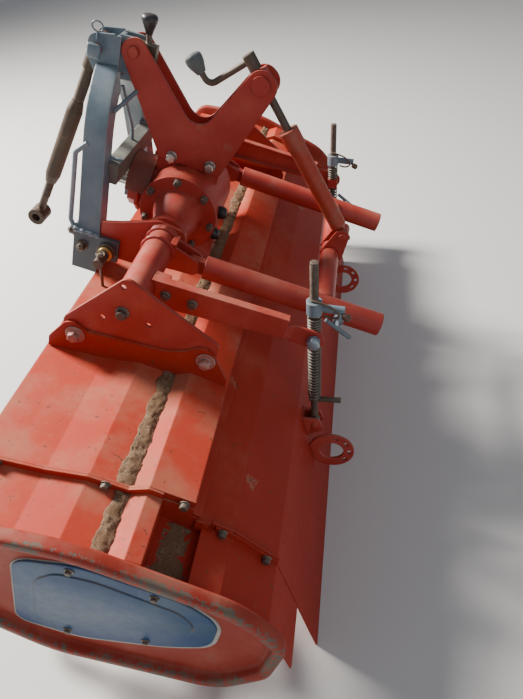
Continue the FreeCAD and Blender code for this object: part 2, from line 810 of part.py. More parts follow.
def build_side_panels():
    panels = []
    face = size.pan_inner + size.pan_wall
    for name, side in SIDES:
        body = doc.addObject("PartDesign::Body", "side_panel_" + name)
        corners = size.outline("side_panel")
        low, high = span(side, face, face + size.panel_wall)
        slab(body, "panel", corners, low, high)
        low, high = span(side, face, face + size.panel_wall + size.panel_field)
        slab(body, "field", inset_corners(corners, float(size.field_margin)), low, high)
        panels.append(body)
    keep(grouped("side_panels", panels))


def flap_points():
    points = [(across, up) for across, up, _ in size.outline("flap")]
    return points + [(size.lip_x, size.lip_z)]


def flange_line(points):
    """Where a rear cover's end flange stands: from behind the hinge to the knee."""
    root, shoulder, knee = [Vector(float(across), float(up), 0) for across, up in points[:3]]
    start = root + (shoulder - root) * 0.42
    return [(point.x, point.y) for point in (start, shoulder, knee)]


def build_rear_cover():
    body = new_body("rear_cover")
    end = size.cover_end_y
    wall = -float(size.flap_wall)
    slab(body, "sheet", sheet_corners(flap_points(), wall), -end, end)
    for name, side in SIDES:
        low, high = span(side, end - size.cover_wall, end)
        corners = flange_corners(flange_line(flap_points()), float(size.cover_flange), 2)
        slab(body, "end_flange_" + name, corners, low, high)
    root = size.outline("flap")[0]
    for _, flap_y in KNUCKLES:
        half = size.knuckle_length * 0.5
        web = [(size.hinge_x - 8, size.hinge_z, 0), (size.hinge_x + 4, size.hinge_z + 2, 0),
               (root[0] - 2, root[1] - 2, 0), (root[0] - 16, root[1] - 5, 0)]
        slab(body, "hinge_web_%d" % flap_y, web, flap_y - half, flap_y + half)
        disc(body, "hinge_knuckle_%d" % flap_y, size.hinge_x, size.hinge_z, size.knuckle_radius,
             flap_y - half, flap_y + half)
        bore(body, "hinge_bore_%d" % flap_y, size.hinge_x, size.hinge_z,
             size.hinge_pin_radius + size.running_clearance, flap_y - half, flap_y + half)


def build_rear_cover_end(name, side):
    body = new_body("rear_cover_end_" + name)
    wall = -float(size.flap_wall)
    points = [(across, up) for across, up, _ in size.outline("flap_end")]
    low, high = span(side, size.cover_end_y, size.flap_end_y)
    slab(body, "sheet", sheet_corners(points, wall), low, high)
    low, high = span(side, size.cover_end_y, size.cover_end_y + size.cover_wall)
    slab(body, "flange", flange_corners(flange_line(points), float(size.cover_flange), 2), low, high)


def build_hinge_pins():
    """One short pin through each pair of knuckles, fast in the top cover's knuckle."""
    pins = []
    half = float(size.knuckle_length) / 2 + 4
    for main_y, flap_y in KNUCKLES:
        low, high = min(main_y, flap_y) - half, max(main_y, flap_y) + half
        pins.append(rod("hinge_pin_%d" % main_y, size.hinge_pin_radius,
                        (size.hinge_x, low, size.hinge_z), (size.hinge_x, high, size.hinge_z)))
    keep(grouped("hinge_pins", pins))


# Mast and hitch

def arm_end(centre, way, radius):
    """The two corners that give an arm a full round end about a centre."""
    way = Vector(way[0], way[1], 0).normalize()
    across = Vector(-way.y, way.x, 0)
    reach = float(radius)
    ends = []
    for turn in (-1, 1):
        offset = way * reach + across * (reach * turn)
        ends.append((centre[0] + offset.x, centre[1] + offset.y, reach - 0.5))
    return ends


def build_mast_plate(name, side):
    body = new_body("mast_plate_" + name)
    front = (size.mast_front_x, size.mast_front_z)
    rear = (size.mast_rear_x, size.mast_rear_z)
    corners = [(-62, 86, 12), (74, 86, 12)]
    corners += arm_end(front, (0.56, 0.83), size.mast_front_radius)
    corners += [(4, 158, 34)]
    corners += arm_end(rear, (-0.5, 0.87), size.mast_rear_radius)
    low, high = span(side, size.mast_gap, size.mast_gap + size.plate_wall)
    holes = [(size.mast_front_x, size.mast_front_z, size.mast_pin_radius),
             (size.mast_rear_x, size.mast_rear_z, size.strut_stub_radius + size.running_clearance),
             (47, 97, 6.5), (-38, 104, 6.5)]
    slab(body, "plate", corners, low, high, holes)


def build_mast_head():
    """Two cheeks at the top link, a web behind them, and two tongues between the mast plates."""
    body = new_body("mast_head")
    rear = size.outline("mast_head")[1]
    foot = size.outline("head_tongue")[3]
    for name, side in SIDES:
        low, high = span(side, size.head_half - size.head_wall, size.head_half)
        slab(body, "cheek_" + name, size.outline("mast_head"), low, high,
             [(size.top_pin_x, size.top_pin_z, size.top_pin_radius)])
        low, high = span(side, size.mast_gap - size.head_wall, size.mast_gap)
        slab(body, "tongue_" + name, size.outline("head_tongue"), low, high,
             [(size.mast_front_x, size.mast_front_z, size.mast_pin_radius)])
    web = rectangle(rear[0] - 8, foot[1], rear[0], rear[1] - 2)
    slab(body, "web", web, -size.head_half, size.head_half)


# A mast leg's centre line: station, forward, outward, up.
LEG_LINE = (
    ("foot", 154.5, 181, -50),
    ("knee", 189, 95, 186),
    ("head", 200, 22, 222),
)


def leg_points(side):
    """Foot, knee and head end of a mast leg's centre line."""
    return [Vector(forward, outward * side, up) for _, forward, outward, up in LEG_LINE]


def leg_shape(side):
    """A square tube's outside, swept along a mast leg's centre line up to the head's cheek."""
    foot, knee, head = leg_points(side)
    path = bent_path((foot, knee, head), float(size.leg_bend))
    wide, deep = float(size.leg_width) / 2, float(size.leg_depth) / 2
    along = (knee - foot).normalize()
    across = (AXIS_Y - along * along.dot(AXIS_Y)).normalize()
    ahead = across.cross(along)
    turns = ((-1, -1), (1, -1), (1, 1), (-1, 1))
    corners = [foot + ahead * (wide * a) + across * (deep * b) for a, b in turns]
    bar = swept(path, Part.makePolygon(corners + corners[:1]))
    face = float(size.head_half)
    return bar.cut(Part.makeBox(head.x * 2, face * 2, head.z, Vector(0, -face, head.z - wide * 3)))


def build_legs():
    """The mast legs, the beam between them and the feet that they stand in."""
    seats = []
    for name, side in SIDES:
        keep(solid("mast_leg_" + name, leg_shape(side)))
        seats.append(solid("leg_seat_" + name, leg_shape(side)))
    both = grouped("leg_seats", seats)
    pins = [pin_bar("foot_pin_hole_" + name, side) for name, side in SIDES]
    trims = fused("foot_trims", seats + pins)
    beam = brick("beam_bar", (size.beam_x, 0, size.beam_z), size.beam_depth, size.beam_length,
                 size.beam_height)
    keep(cut("cross_beam", beam, both))
    keep(cut("hitch_feet", foot_blocks(), trims))


def foot_blocks():
    feet = []
    for name, side in SIDES:
        middle = (size.sleeve_x, size.sleeve_y * side, size.sleeve_z)
        sleeve = brick("foot_sleeve_" + name, middle, size.sleeve_depth, size.sleeve_width,
                       size.sleeve_height)
        face = float(size.hitch_plate_face + size.hitch_plate_wall)
        wall = float(size.foot_tab_wall)
        tab = brick("foot_tab_" + name, (size.lower_pin_x, (face + wall / 2) * side, -64), 46, wall, 50)
        feet.append(fused("hitch_foot_" + name, [sleeve, tab]))
    return grouped("foot_block_pair", feet)


def pin_bar(name, side):
    """The shank of a lower link pin, from inside the hitch plate to its free end."""
    inner = (float(size.hitch_plate_face) - 8) * side
    outer = float(size.lower_pin_end) * side
    x, z = size.lower_pin_x, size.lower_pin_z
    return rod(name, size.lower_pin_radius, (x, inner, z), (x, outer, z))


def build_lower_pins():
    pins = []
    x, z = size.lower_pin_x, size.lower_pin_z
    for name, side in SIDES:
        face = float(size.hitch_plate_face + size.hitch_plate_wall + size.foot_tab_wall) * side
        collar = rod("pin_collar_" + name, size.lower_pin_radius + 8, (x, face, z),
                     (x, face + 8 * side, z))
        pins.append(fused("lower_pin_" + name, [pin_bar("pin_shank_" + name, side), collar]))
    keep(grouped("lower_pins", pins))


def build_latch_rods():
    """Bent rods in front of the mast legs that work the hitch latches."""
    rods = []
    for name, side in SIDES:
        points = [(180, 176 * side, 140), (200, 182 * side, 118), (200, 186 * side, -30),
                  (190, 186 * side, -50)]
        rods.append(solid("latch_rod_" + name, bent_bar(points, 5, 12)))
    keep(grouped("latch_rods", rods))


def build_lock_lever():
    """The release lever: a blade on the mast's front pin, its stem and its tapered knob."""
    foot = side_view(131, 262)
    neck = side_view(138, size.lock_knob_z)
    stem = rod("lock_stem", 6, foot, neck)
    blade = brick("lock_blade", (136, 0, 276), 38, 20, 36)
    pin = rod("lock_pin_hole", size.mast_pin_radius, (size.mast_front_x, -20, size.mast_front_z),
              (size.mast_front_x, 20, size.mast_front_z))
    keep(cut("lock_lever", fused("lock_solid", [stem, blade]), pin))
    keep(primitive("Cone", "lock_knob", placed(neck, Vector(3, 0, 31)), Radius1=7, Radius2=16, Height=31))


def build_mast_pins():
    reach = float(size.mast_gap + size.plate_wall)
    x, z = size.mast_front_x, size.mast_front_z
    front = rod("mast_front_pin", size.mast_pin_radius, (x, -reach - 8, z), (x, reach + 8, z))
    half = float(size.head_half)
    top = rod("top_link_pin", size.top_pin_radius, (size.top_pin_x, -half - 8, size.top_pin_z),
              (size.top_pin_x, half + 10, size.top_pin_z))
    keep(grouped("mast_pins", [front, top]))


def build_input():
    """The input shaft and the half-round guard over it, which stands on the gearbox."""
    start = float(size.snout_end)
    end = start + float(size.input_shaft_length)
    keep(rod("input_shaft", size.input_shaft_radius, (start, 0, 0), (end, 0, 0)))
    rear, front = float(size.guard_start), float(size.guard_end)
    outside = rod("guard_outside", size.guard_radius, (rear, 0, 0), (front, 0, 0))
    inside = rod("guard_inside", size.guard_radius - size.guard_wall, (rear - 1, 0, 0),
                 (front + 1, 0, 0))
    lower = brick("guard_lower", ((rear + front) / 2, 0, -46), 60, 150, 108)
    seat = rod("guard_seat", size.case_radius, (0, -size.case_half.number, 0),
               (0, size.case_half.number, 0))
    trims = fused("guard_trims", [lower, seat])
    keep(cut("input_guard", cut("guard_ring", outside, inside), trims))


# Rotor

def tine_section(radius, angle, shift, width, thickness, lean):
    """A rectangle across a tine at a radius, turned about the shaft and leaning sideways."""
    centre = Vector(0, shift, radius)
    wide = Vector(width / 2, 0, 0)
    thick = Vector(0, math.cos(lean), -math.sin(lean)) * (thickness / 2)
    points = [centre - wide - thick, centre + wide - thick, centre + wide + thick, centre - wide + thick]
    turn = FreeCAD.Rotation(AXIS_Y, angle)
    points = [turn.multVec(point) for point in points]
    return Part.makePolygon(points + points[:1])


def tine(angle, hand):
    """One curved tine: a straight shank, then a scoop that trails and bends sideways."""
    width, thickness = float(size.tine_width), float(size.tine_thickness)
    tip, sweep = float(size.tine_radius), float(size.tine_sweep)
    # radius, trailing angle, sideways shift, width, thickness, sideways lean in degrees
    stations = (
        (24, 0, 0, width, thickness, 0),
        (150, 0, 0, width, thickness, 0),
        (204, -8, 6 * hand, width * 1.05, thickness, 35 * hand),
        (tip - 8, -17, sweep * 0.55 * hand, width, thickness * 0.8, 74 * hand),
        (tip - 4, -19, sweep * hand, width * 0.7, thickness * 0.6, 86 * hand),
    )
    sections = []
    for radius, trail, shift, wide, thick, lean in stations:
        sections.append(tine_section(radius, trail, shift, wide, thick, math.radians(lean)))
    shape = Part.makeLoft(sections, True, True)
    shape.rotate(Vector(), AXIS_Y, angle)
    return shape


def build_rotor(name, side):
    hub = float(size.rotor_hub_half) + 6
    end = float(size.rotor_end)
    stub = Part.makeCylinder(float(size.shaft_radius), hub, Vector(), AXIS_Y * side)
    tube = Part.makeCylinder(float(size.rotor_tube_radius), end - hub, AXIS_Y * (hub * side), AXIS_Y * side)
    count = int(float(size.tine_stations))
    holder, wall = float(size.holder_radius), float(size.holder_wall)
    pitch = (end - hub - 100) / (count - 1)
    step = 180 / count
    pieces = [tube]
    for station in range(count):
        y = (hub + 50 + pitch * station) * side
        plate = Part.makeCylinder(holder, wall, Vector(0, y - wall / 2, 0), AXIS_Y)
        pieces.append(plate)
        angle = parked_pitch + step / 2 + step * ((station * 3) % count)
        for half_turn, hand in ((0, 1), (180, -1)):
            if station == 0:
                hand = side
            if station == count - 1:
                hand = -side
            blade = tine(angle + half_turn, hand)
            blade.translate(AXIS_Y * y)
            pieces.append(blade)
    shape = stub.multiFuse(pieces)
    shape.translate(side_view(size.rotor_x, size.rotor_z))
    keep(solid("tine_rotor_" + name, shape))


# Rear cover hangers

def hanger_point(distance, y):
    """A point on a hanger rod, a distance down from its trunnion. The rods hang plumb when
    the machine is parked."""
    down = Vector(-math.sin(math.radians(parked_pitch)), 0, -math.cos(math.radians(parked_pitch)))
    return side_view(size.hanger_x, size.hanger_z, y) + down * distance


def build_arm(name, side):
    """A channel arm that opens inwards, stepped to an eye plate for the hanger trunnion."""
    body = new_body("hanger_arm_" + name)
    eye_face = size.hanger_y + size.trunnion_half + 1
    web_face = eye_face + size.arm_joggle
    web_back = web_face + size.arm_wall
    web = [(-22, 24, 8), (-285, 31, 6), (-285, -15, 6), (-22, -34, 8)]
    low, high = span(side, web_face, web_back)
    slab(body, "web", web, low, high)
    low, high = span(side, web_back - size.arm_lip, web_back)
    wall = size.arm_wall
    top_lip = [(-22, 24, 0), (-285, 31, 0), (-285, 31 - wall, 0), (-22, 24 - wall, 0)]
    low_lip = [(-22, -34, 0), (-285, -15, 0), (-285, -15 + wall, 0), (-22, -34 + wall, 0)]
    slab(body, "top_lip", top_lip, low, high)
    slab(body, "low_lip", low_lip, low, high)
    step = [(-283, web_face * side, 0), (-283, web_back * side, 0),
            (-299, (eye_face + size.arm_wall) * side, 0), (-299, eye_face * side, 0)]
    block(body, "step", "XY_Plane", step, -14, 31)
    eye = (size.hanger_x, size.hanger_z)
    plate = [(-298, 19.5, 0)] + arm_end(eye, (-1, 0), 20) + [(-298, -19.5, 0)]
    low, high = span(side, eye_face, eye_face + size.arm_wall)
    hole = [(size.hanger_x, size.hanger_z, size.trunnion_pin_radius + size.running_clearance)]
    slab(body, "eye_plate", plate, low, high, hole)
    low, high = span(side, web_back - size.arm_lip - 14, web_back)
    slab(body, "foot", rectangle(-52, -33, -22, 23), low, high)
    bore(body, "axle_seat", 0, 0, size.axle_radius, low, high)


def build_hangers():
    half = float(size.trunnion_half)
    blocks, rods, levers = [], [], []
    springs = {"lower": [], "upper": []}
    turn = FreeCAD.Rotation(AXIS_Y, parked_pitch)
    for name, side in SIDES:
        y = float(size.hanger_y) * side
        centre = hanger_point(0, y)
        outer = (half + 1 + float(size.arm_wall)) * side
        body = brick("trunnion_block_" + name, centre, half * 2, half * 2, half * 2, turn)
        pin = rod("trunnion_pin_" + name, size.trunnion_pin_radius, centre, centre + AXIS_Y * outer)
        hole = rod("trunnion_hole_" + name, size.hanger_rod_radius + 0.6, hanger_point(-20, y),
                   hanger_point(20, y))
        blocks.append(cut("hanger_trunnion_" + name, fused("trunnion_" + name, [body, pin]), hole))

        shank = rod("rod_shank_" + name, size.hanger_rod_radius, hanger_point(-size.hanger_top.number, y),
                    hanger_point(size.hanger_reach.number, y))
        cross = hanger_point(size.hanger_cross_pin.number, y)
        handle = rod("rod_handle_" + name, 6, cross + turn.multVec(Vector(12, 0, 0)),
                     cross + turn.multVec(Vector(-56, 0, 0)))
        eye = rod("rod_eye_" + name, size.rod_eye_radius, hanger_point(size.hanger_reach.number, y - 8),
                  hanger_point(size.hanger_reach.number, y + 8))
        hole = rod("rod_eye_bore_" + name, size.lug_pin_radius + size.lug_pin_play,
                   hanger_point(size.hanger_reach.number, y - 10), hanger_point(size.hanger_reach.number, y + 10))
        rods.append(cut("hanger_rod_" + name, fused("rod_solid_" + name, [shank, handle, eye]), hole))

        seat = -half - size.upper_spring.number
        boss = rod("lever_boss_" + name, 15, hanger_point(seat - 2, y), hanger_point(seat - 30, y))
        tip = hanger_point(seat - 10, y) + turn.multVec(Vector(-56, 0, 0))
        lever = rod("lever_arm_" + name, 8, hanger_point(seat - 16, y), tip)
        bore_ = rod("lever_bore_" + name, size.hanger_rod_radius + 0.1, hanger_point(seat + 10, y),
                    hanger_point(seat - 60, y))
        levers.append(cut("hanger_lever_" + name, fused("lever_" + name, [boss, lever]), bore_))

        for part, start, end in (("lower", half, size.hanger_cross_pin.number - 8),
                                 ("upper", -half, seat - 2)):
            outside = rod("%s_coil_%s" % (part, name), size.spring_radius, hanger_point(start, y),
                          hanger_point(end, y))
            inside = rod("%s_coil_bore_%s" % (part, name), size.spring_radius - size.spring_wire,
                         hanger_point(start, y), hanger_point(end, y))
            springs[part].append(cut("%s_spring_%s" % (part, name), outside, inside))
    keep(grouped("hanger_trunnions", blocks))
    keep(grouped("hanger_rods", rods))
    keep(grouped("hanger_levers", levers))
    keep(grouped("lower_springs", springs["lower"]))
    keep(grouped("upper_springs", springs["upper"]))


def build_cover_lugs():
    """On the rear cover: a slotted clevis for each hanger rod and a perforated quadrant."""
    lugs = []
    points = flap_points()
    knee, lip = (Vector(float(a), 0, float(b)) for a, b in (points[2], points[-1]))
    along = (lip - knee).normalize()
    out = Vector(along.z, 0, -along.x)
    for name, side in SIDES:
        y = float(size.hanger_y) * side
        eye = hanger_point(size.hanger_reach.number, 0)
        foot = knee + along * (eye - knee).dot(along)
        height = (eye - foot).dot(out)
        body = doc.addObject("PartDesign::Body", "rod_clevis_" + name)
        for part, shift in (("outer", 14), ("inner", -14)):
            middle = y + shift
            base = [foot + along * 26, foot - along * 26]
            top = [eye - along * 16 + out * 16, eye + along * 16 + out * 16]
            corners = [(p.x, p.z, 0) for p in base] + [(p.x, p.z, 12) for p in top]
            slab(body, "ear_" + part, corners, middle - 3, middle + 3)
        base = [foot + along * 30, foot - along * 30]
        base += [foot - along * 30 + out * 2.5, foot + along * 30 + out * 2.5]
        slab(body, "base", [(p.x, p.z, 0) for p in base], y - 17, y + 17)
        disc(body, "lug_pin", eye.x, eye.z, size.lug_pin_radius, y - 19, y + 19)
        lugs.append(body)
        ring = side_view(size.quadrant_x, size.quadrant_z)
        foot = knee + along * (ring - knee).dot(along)
        body = doc.addObject("PartDesign::Body", "quadrant_" + name)
        disc(body, "ring", ring.x, ring.z, size.quadrant_radius, y + 24, y + 30, size.quadrant_bore)
        inside = [foot + along * 70, foot - along * 70, foot - along * 70 - out * 40,
                  foot + along * 70 - out * 40]
        trench(body, "trim", [(p.x, p.z, 0) for p in inside], y + 20, y + 34)
        lugs.append(body)
    keep(grouped("cover_lugs", lugs))


# Rear frame and depth strut

def build_pivot_brackets():
    brackets = []
    for name, side in SIDES:
        body = doc.addObject("PartDesign::Body", "pivot_bracket_" + name)
        pivot = (size.frame_pivot_x, size.tube_z)
        for part, near in (("inner", -18), ("outer", 12)):
            corners = [(-16, 26, 6)] + arm_end(pivot, (-1, 0), 16) + [(-16, -34, 6)]
            low, high = span(side, size.tube_y + near, size.tube_y + near + 6)
            slab(body, "ear_" + part, corners, low, high)
        low, high = span(side, size.tube_y - 18, size.tube_y + 18)
        disc(body, "pivot_pin", pivot[0], pivot[1], size.frame_pin_radius, low, high)
        slab(body, "saddle", rectangle(-34, -34, -22, 26), low, high)
        bore(body, "axle_seat", 0, 0, size.axle_radius, low, high)
        brackets.append(body)
    keep(grouped("pivot_brackets", brackets))


def build_rear_tube(name, side):
    y = float(size.tube_y) * side
    z = float(size.tube_z)
    front, rear = float(size.tube_front), float(size.tube_rear)
    pivot = float(size.frame_pivot_x)
    outside = rod("tube_outside_" + name, size.tube_radius, (front, y, z), (rear, y, z))
    eye = rod("tube_eye_" + name, 16, (pivot, y - 9, z), (pivot, y + 9, z))
    tongue = brick("tube_tongue_" + name, ((pivot + front) / 2 - 8, y, z), pivot - front + 16, 18, 30)
    whole = fused("tube_solid_" + name, [outside, eye, tongue])
    hole = rod("tube_bore_" + name, size.tube_radius - size.tube_wall, (front - 24, y, z), (rear, y, z))
    pin = rod("tube_pin_hole_" + name, size.frame_pin_radius + size.running_clearance,
              (pivot, y - 10, z), (pivot, y + 10, z))
    keep(cut("rear_tube_" + name, whole, fused("tube_holes_" + name, [hole, pin])))


def build_cross_tube():
    edge = float(size.tube_y)
    bar = rod("cross_bar", size.cross_tube_radius, (size.cross_tube_x, -edge, size.tube_z),
              (size.cross_tube_x, edge, size.tube_z))
    tubes = []
    for name, side in SIDES:
        y = edge * side
        tubes.append(rod("cross_trim_" + name, size.tube_radius, (size.cross_tube_x + 60, y, size.tube_z),
                         (size.cross_tube_x - 60, y, size.tube_z)))
    keep(cut("rear_cross_tube", bar, fused("cross_trims", tubes)))


def build_strut_bracket():
    """Two ears on the cross tube that hold the depth strut's lower pin."""
    body = new_body("strut_bracket")
    foot = (size.strut_foot_x, size.strut_foot_z)
    for part, near in (("left", 15), ("right", -21)):
        corners = [(size.cross_tube_x + 26, size.tube_z - 4, 4)] + arm_end(foot, (-0.1, 1), 15) + [
            (size.cross_tube_x - 30, size.tube_z - 4, 4)]
        slab(body, "ear_" + part, corners, near, near + 6)
    disc(body, "strut_pin", foot[0], foot[1], size.strut_pin_radius, -27, 27)
    bore(body, "tube_seat", size.cross_tube_x, size.tube_z, size.cross_tube_radius, -30, 30)


def strut_line():
    """The depth strut's trunnion centre and the way down to its lower pin."""
    top = side_view(size.mast_rear_x, size.mast_rear_z)
    foot = side_view(size.strut_foot_x, size.strut_foot_z)
    return top, (foot - top).normalize(), (foot - top).Length


def build_strut():
    top, way, length = strut_line()
    level = way.cross(AXIS_Y).normalize()
    turn = FreeCAD.Rotation(AXIS_Z, -way)
    half = float(size.strut_trunnion_half)
    body = brick("strut_block", top, 40, half * 2, 44, turn)
    reach = float(size.mast_gap + size.plate_wall)
    stub = rod("strut_stub", size.strut_stub_radius, top - AXIS_Y * reach, top + AXIS_Y * reach)
    heads, necks = [], []
    for name, side in SIDES:
        face = top + AXIS_Y * (reach * side)
        heads.append(rod("strut_head_" + name, 19, face + AXIS_Y * (0.4 * side),
                         face + AXIS_Y * (6 * side)))
        necks.append(rod("strut_neck_" + name, size.strut_stub_radius, face,
                         face + AXIS_Y * (2 * side)))
    hole = rod("strut_block_bore", size.strut_screw_radius + 0.3, top - way * 30, top + way * 30)
    keep(cut("strut_trunnion", fused("strut_trunnion_solid", [body, stub] + heads + necks), hole))

    boss = rod("crank_boss", 13, top - way * 26, top - way * 58)
    inside = float(size.strut_collar_start) + 110
    screw = rod("crank_screw", size.strut_screw_radius, top - way * 30, top + way * inside)
    bend = top - way * 46
    level = level if level.z < 0 else -level
    grip = bend + level * 100
    points = [bend, grip, grip - way * 34]
    arm = solid("crank_arm", bent_bar(points, 6.5, 16))
    knob = primitive("Cone", "crank_knob", placed(grip - way * 27, -way), Radius1=9, Radius2=17, Height=32)
    keep(fused("strut_crank", [boss, screw, arm, knob]))

    start = float(size.strut_collar_start)
    collar = rod("strut_collar", size.strut_tube_radius + 3, top + way * start, top + way * (start + 38))
    tube = rod("strut_outer", size.strut_tube_radius, top + way * start, top + way * (length - 22))
    eye = rod("strut_eye", 16, top + way * length - AXIS_Y * 12, top + way * length + AXIS_Y * 12)
    neck = brick("strut_neck", top + way * (length - 20), 24, 24, 30, turn)
    inner = rod("strut_tube_bore", size.strut_screw_radius + 0.4, top + way * (start - 5),
                top + way * (length - 60))
    hole = rod("strut_eye_bore", size.strut_pin_radius + size.strut_pin_play,
               top + way * length - AXIS_Y * 14, top + way * length + AXIS_Y * 14)
    whole = fused("strut_tube_solid", [collar, tube, eye, neck])
    keep(cut("strut_tube", whole, fused("strut_holes", [inner, hole])))


# Top link

def top_link_way():
    """The way from the top link's upper pin to its lower eye."""
    lean = math.radians(float(size.top_link_lean))
    return Vector(math.sin(lean), 0, -math.cos(lean))


def build_top_link():
    """Two eyes on screws, and the barrel between them. The screws stand a little in front of
    the upper pin and run straight to the lower eye."""
    pin = side_view(size.top_pin_x, size.top_pin_z)
    way = top_link_way()
    foot = pin + way * float(size.top_link_length)
    head = pin + Vector(-way.z, 0, way.x) * float(size.top_link_offset)
    down = (foot - head).normalize()
    near, far = float(size.barrel_start), float(size.barrel_end)
    half = float(size.head_half - size.head_wall) - 0.5
    upper = [rod("upper_neck", 15, head + down * 4, head + down * 56),
             rod("upper_screw", 11, head + down * 50, head + down * (near + 40))]
    lower = [rod("lower_screw", 9, foot - down * 10, head + down * (far - 1)),
             rod("lower_thread", 11, head + down * far, head + down * (far - 40))]
    ends = []
    for name, centre, radius, bars in (("upper", pin, 22, upper), ("lower", foot, 20, lower)):
        ring = rod("link_ring_" + name, radius, centre - AXIS_Y * half, centre + AXIS_Y * half)
        hole = rod("link_hole_" + name, size.top_pin_radius + size.running_clearance,
                   centre - AXIS_Y * 30, centre + AXIS_Y * 30)
        ends.append(cut("top_link_end_" + name, fused("link_end_" + name, [ring] + bars), hole))
    keep(grouped("top_link_ends", ends))
    outside = rod("barrel_outside", size.barrel_radius, head + down * (near + 22), head + down * (far - 22))
    tapers = []
    for name, start, turned in (("upper", head + down * near, down), ("lower", head + down * far, -down)):
        tapers.append(primitive("Cone", "barrel_taper_" + name, placed(start, turned), Radius1=12.5,
                                Radius2=size.barrel_radius, Height=22))
    inside = rod("barrel_inside", 11, head + down * (near - 1), head + down * (far + 1))
    keep(cut("top_link_barrel", fused("barrel_solid", [outside] + tapers), inside))


# Parked attitude

def pitch_when_parked():
    """The nose-up pitch at which the tines and the rear cover's lip both touch the floor."""
    step = math.radians(90 / float(size.tine_stations))
    drop = (float(size.tine_radius)) * math.cos(step)
    back = float(size.rotor_x - size.lip_x)
    down = float(size.rotor_z - size.lip_z)
    return math.degrees(math.asin(drop / math.hypot(back, down)) - math.atan2(down, back))


parked_pitch = pitch_when_parked()

build_gearbox()
build_drive_case()
build_top_cover()
build_rear_cover()
for side_name, side_sign in SIDES:
    build_side_housing(side_name, side_sign)
    build_axle_tube(side_name, side_sign)
    build_bracket_plate(side_name, side_sign)
    build_hitch_plate(side_name, side_sign)
    build_cover_end(side_name, side_sign)
    build_rear_cover_end(side_name, side_sign)
    build_side_plate(side_name, side_sign)
    build_mast_plate(side_name, side_sign)
    build_rotor(side_name, side_sign)
    build_arm(side_name, side_sign)
    build_rear_tube(side_name, side_sign)
build_side_panels()
build_hinge_pins()
build_mast_head()
build_legs()
build_lower_pins()
build_latch_rods()
build_lock_lever()
build_mast_pins()
build_input()
build_hangers()
build_cover_lugs()
build_pivot_brackets()
build_cross_tube()
build_strut_bracket()
build_strut()
build_top_link()
doc.recompute()

# Setting the machine down: the pitch first, then the origin under the middle of the part.
pitched = FreeCAD.Rotation(AXIS_Y, -parked_pitch)
for node in nodes:
    node.Placement = FreeCAD.Placement(Vector(), pitched).multiply(node.Placement)
doc.recompute()
whole = FreeCAD.BoundBox()
for node in nodes:
    whole.add(node.Shape.optimalBoundingBox(False))
shift = Vector(-whole.Center.x, -whole.Center.y, -whole.ZMin)
for node in nodes:
    node.Placement = FreeCAD.Placement(shift, FreeCAD.Rotation()).multiply(node.Placement)
doc.recompute()

failed = [item.Name for item in doc.Objects if "Invalid" in item.State or "Error" in item.State]
failed += [node.Label for node in nodes if node.Shape.isNull() or not node.Shape.isValid()]
if failed:
    raise RuntimeError("No valid shape: %s" % ", ".join(failed))

os.makedirs("parts", exist_ok=True)
for node in nodes:
    node.Shape.exportStep("parts/%s.step" % node.Label)
    print("%-22s solids %d volume %.0f" % (node.Label, len(node.Shape.Solids), node.Shape.Volume))

# Places for the record, in metres.
placement = FreeCAD.Placement(shift, pitched)
top, way, length = strut_line()
link_way = top_link_way()
places = {
    "axle": Vector(),
    "rotor": side_view(size.rotor_x, size.rotor_z),
    "rear_cover_hinge": side_view(size.hinge_x, size.hinge_z),
    "hanger_trunnion": side_view(size.hanger_x, size.hanger_z),
    "hanger_eye": hanger_point(size.hanger_reach.number, 0),
    "frame_pivot": side_view(size.frame_pivot_x, size.tube_z),
    "strut_trunnion": top,
    "strut_foot": top + way * length,
    "top_link_pin": side_view(size.top_pin_x, size.top_pin_z),
    "top_link_eye": side_view(size.top_pin_x, size.top_pin_z) + link_way * float(size.top_link_length),
    "lower_pin_left": side_view(size.lower_pin_x, size.lower_pin_z, size.lower_pin_end.number),
    "input_end": Vector(float(size.snout_end + size.input_shaft_length), 0, 0),
    "tube_rear_left": side_view(size.tube_rear, size.tube_z, size.tube_y.number),
    "tube_front_left": side_view(size.tube_front, size.tube_z, size.tube_y.number),
}
for name, place in places.items():
    point = placement.multVec(place) * 0.001
    print("place %s %.6f %.6f %.6f" % (name, point.x, point.y, point.z))
for name, way in (("forward", AXIS_X), ("up", AXIS_Z), ("strut", way), ("top_link", link_way)):
    point = pitched.multVec(way)
    print("way %s %.6f %.6f %.6f" % (name, point.x, point.y, point.z))
print("pitch %.4f" % parked_pitch)
print("box %.1f %.1f %.1f" % (whole.XLength, whole.YLength, whole.ZLength))
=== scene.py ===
import logging
import math
from dataclasses import dataclass, field
from enum import Enum
from typing import Callable, Iterable, Sequence

import bpy
import bmesh
from mathutils import Matrix, Quaternion, Vector


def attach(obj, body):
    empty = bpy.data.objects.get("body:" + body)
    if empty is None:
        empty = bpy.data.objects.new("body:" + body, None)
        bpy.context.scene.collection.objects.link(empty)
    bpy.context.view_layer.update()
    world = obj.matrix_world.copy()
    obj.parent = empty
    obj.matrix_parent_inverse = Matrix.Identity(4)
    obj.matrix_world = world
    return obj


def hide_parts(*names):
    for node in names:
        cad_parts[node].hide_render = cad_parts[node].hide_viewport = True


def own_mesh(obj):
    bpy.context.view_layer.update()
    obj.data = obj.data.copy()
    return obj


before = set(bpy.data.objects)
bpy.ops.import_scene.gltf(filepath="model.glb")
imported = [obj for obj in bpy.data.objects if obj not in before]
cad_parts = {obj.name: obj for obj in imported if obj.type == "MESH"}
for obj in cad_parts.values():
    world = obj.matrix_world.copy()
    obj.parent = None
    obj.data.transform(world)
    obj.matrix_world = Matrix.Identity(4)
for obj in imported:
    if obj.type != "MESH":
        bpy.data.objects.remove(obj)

logging.basicConfig(level=logging.INFO, format="%(message)s")
log = logging.getLogger("rotary_tiller")

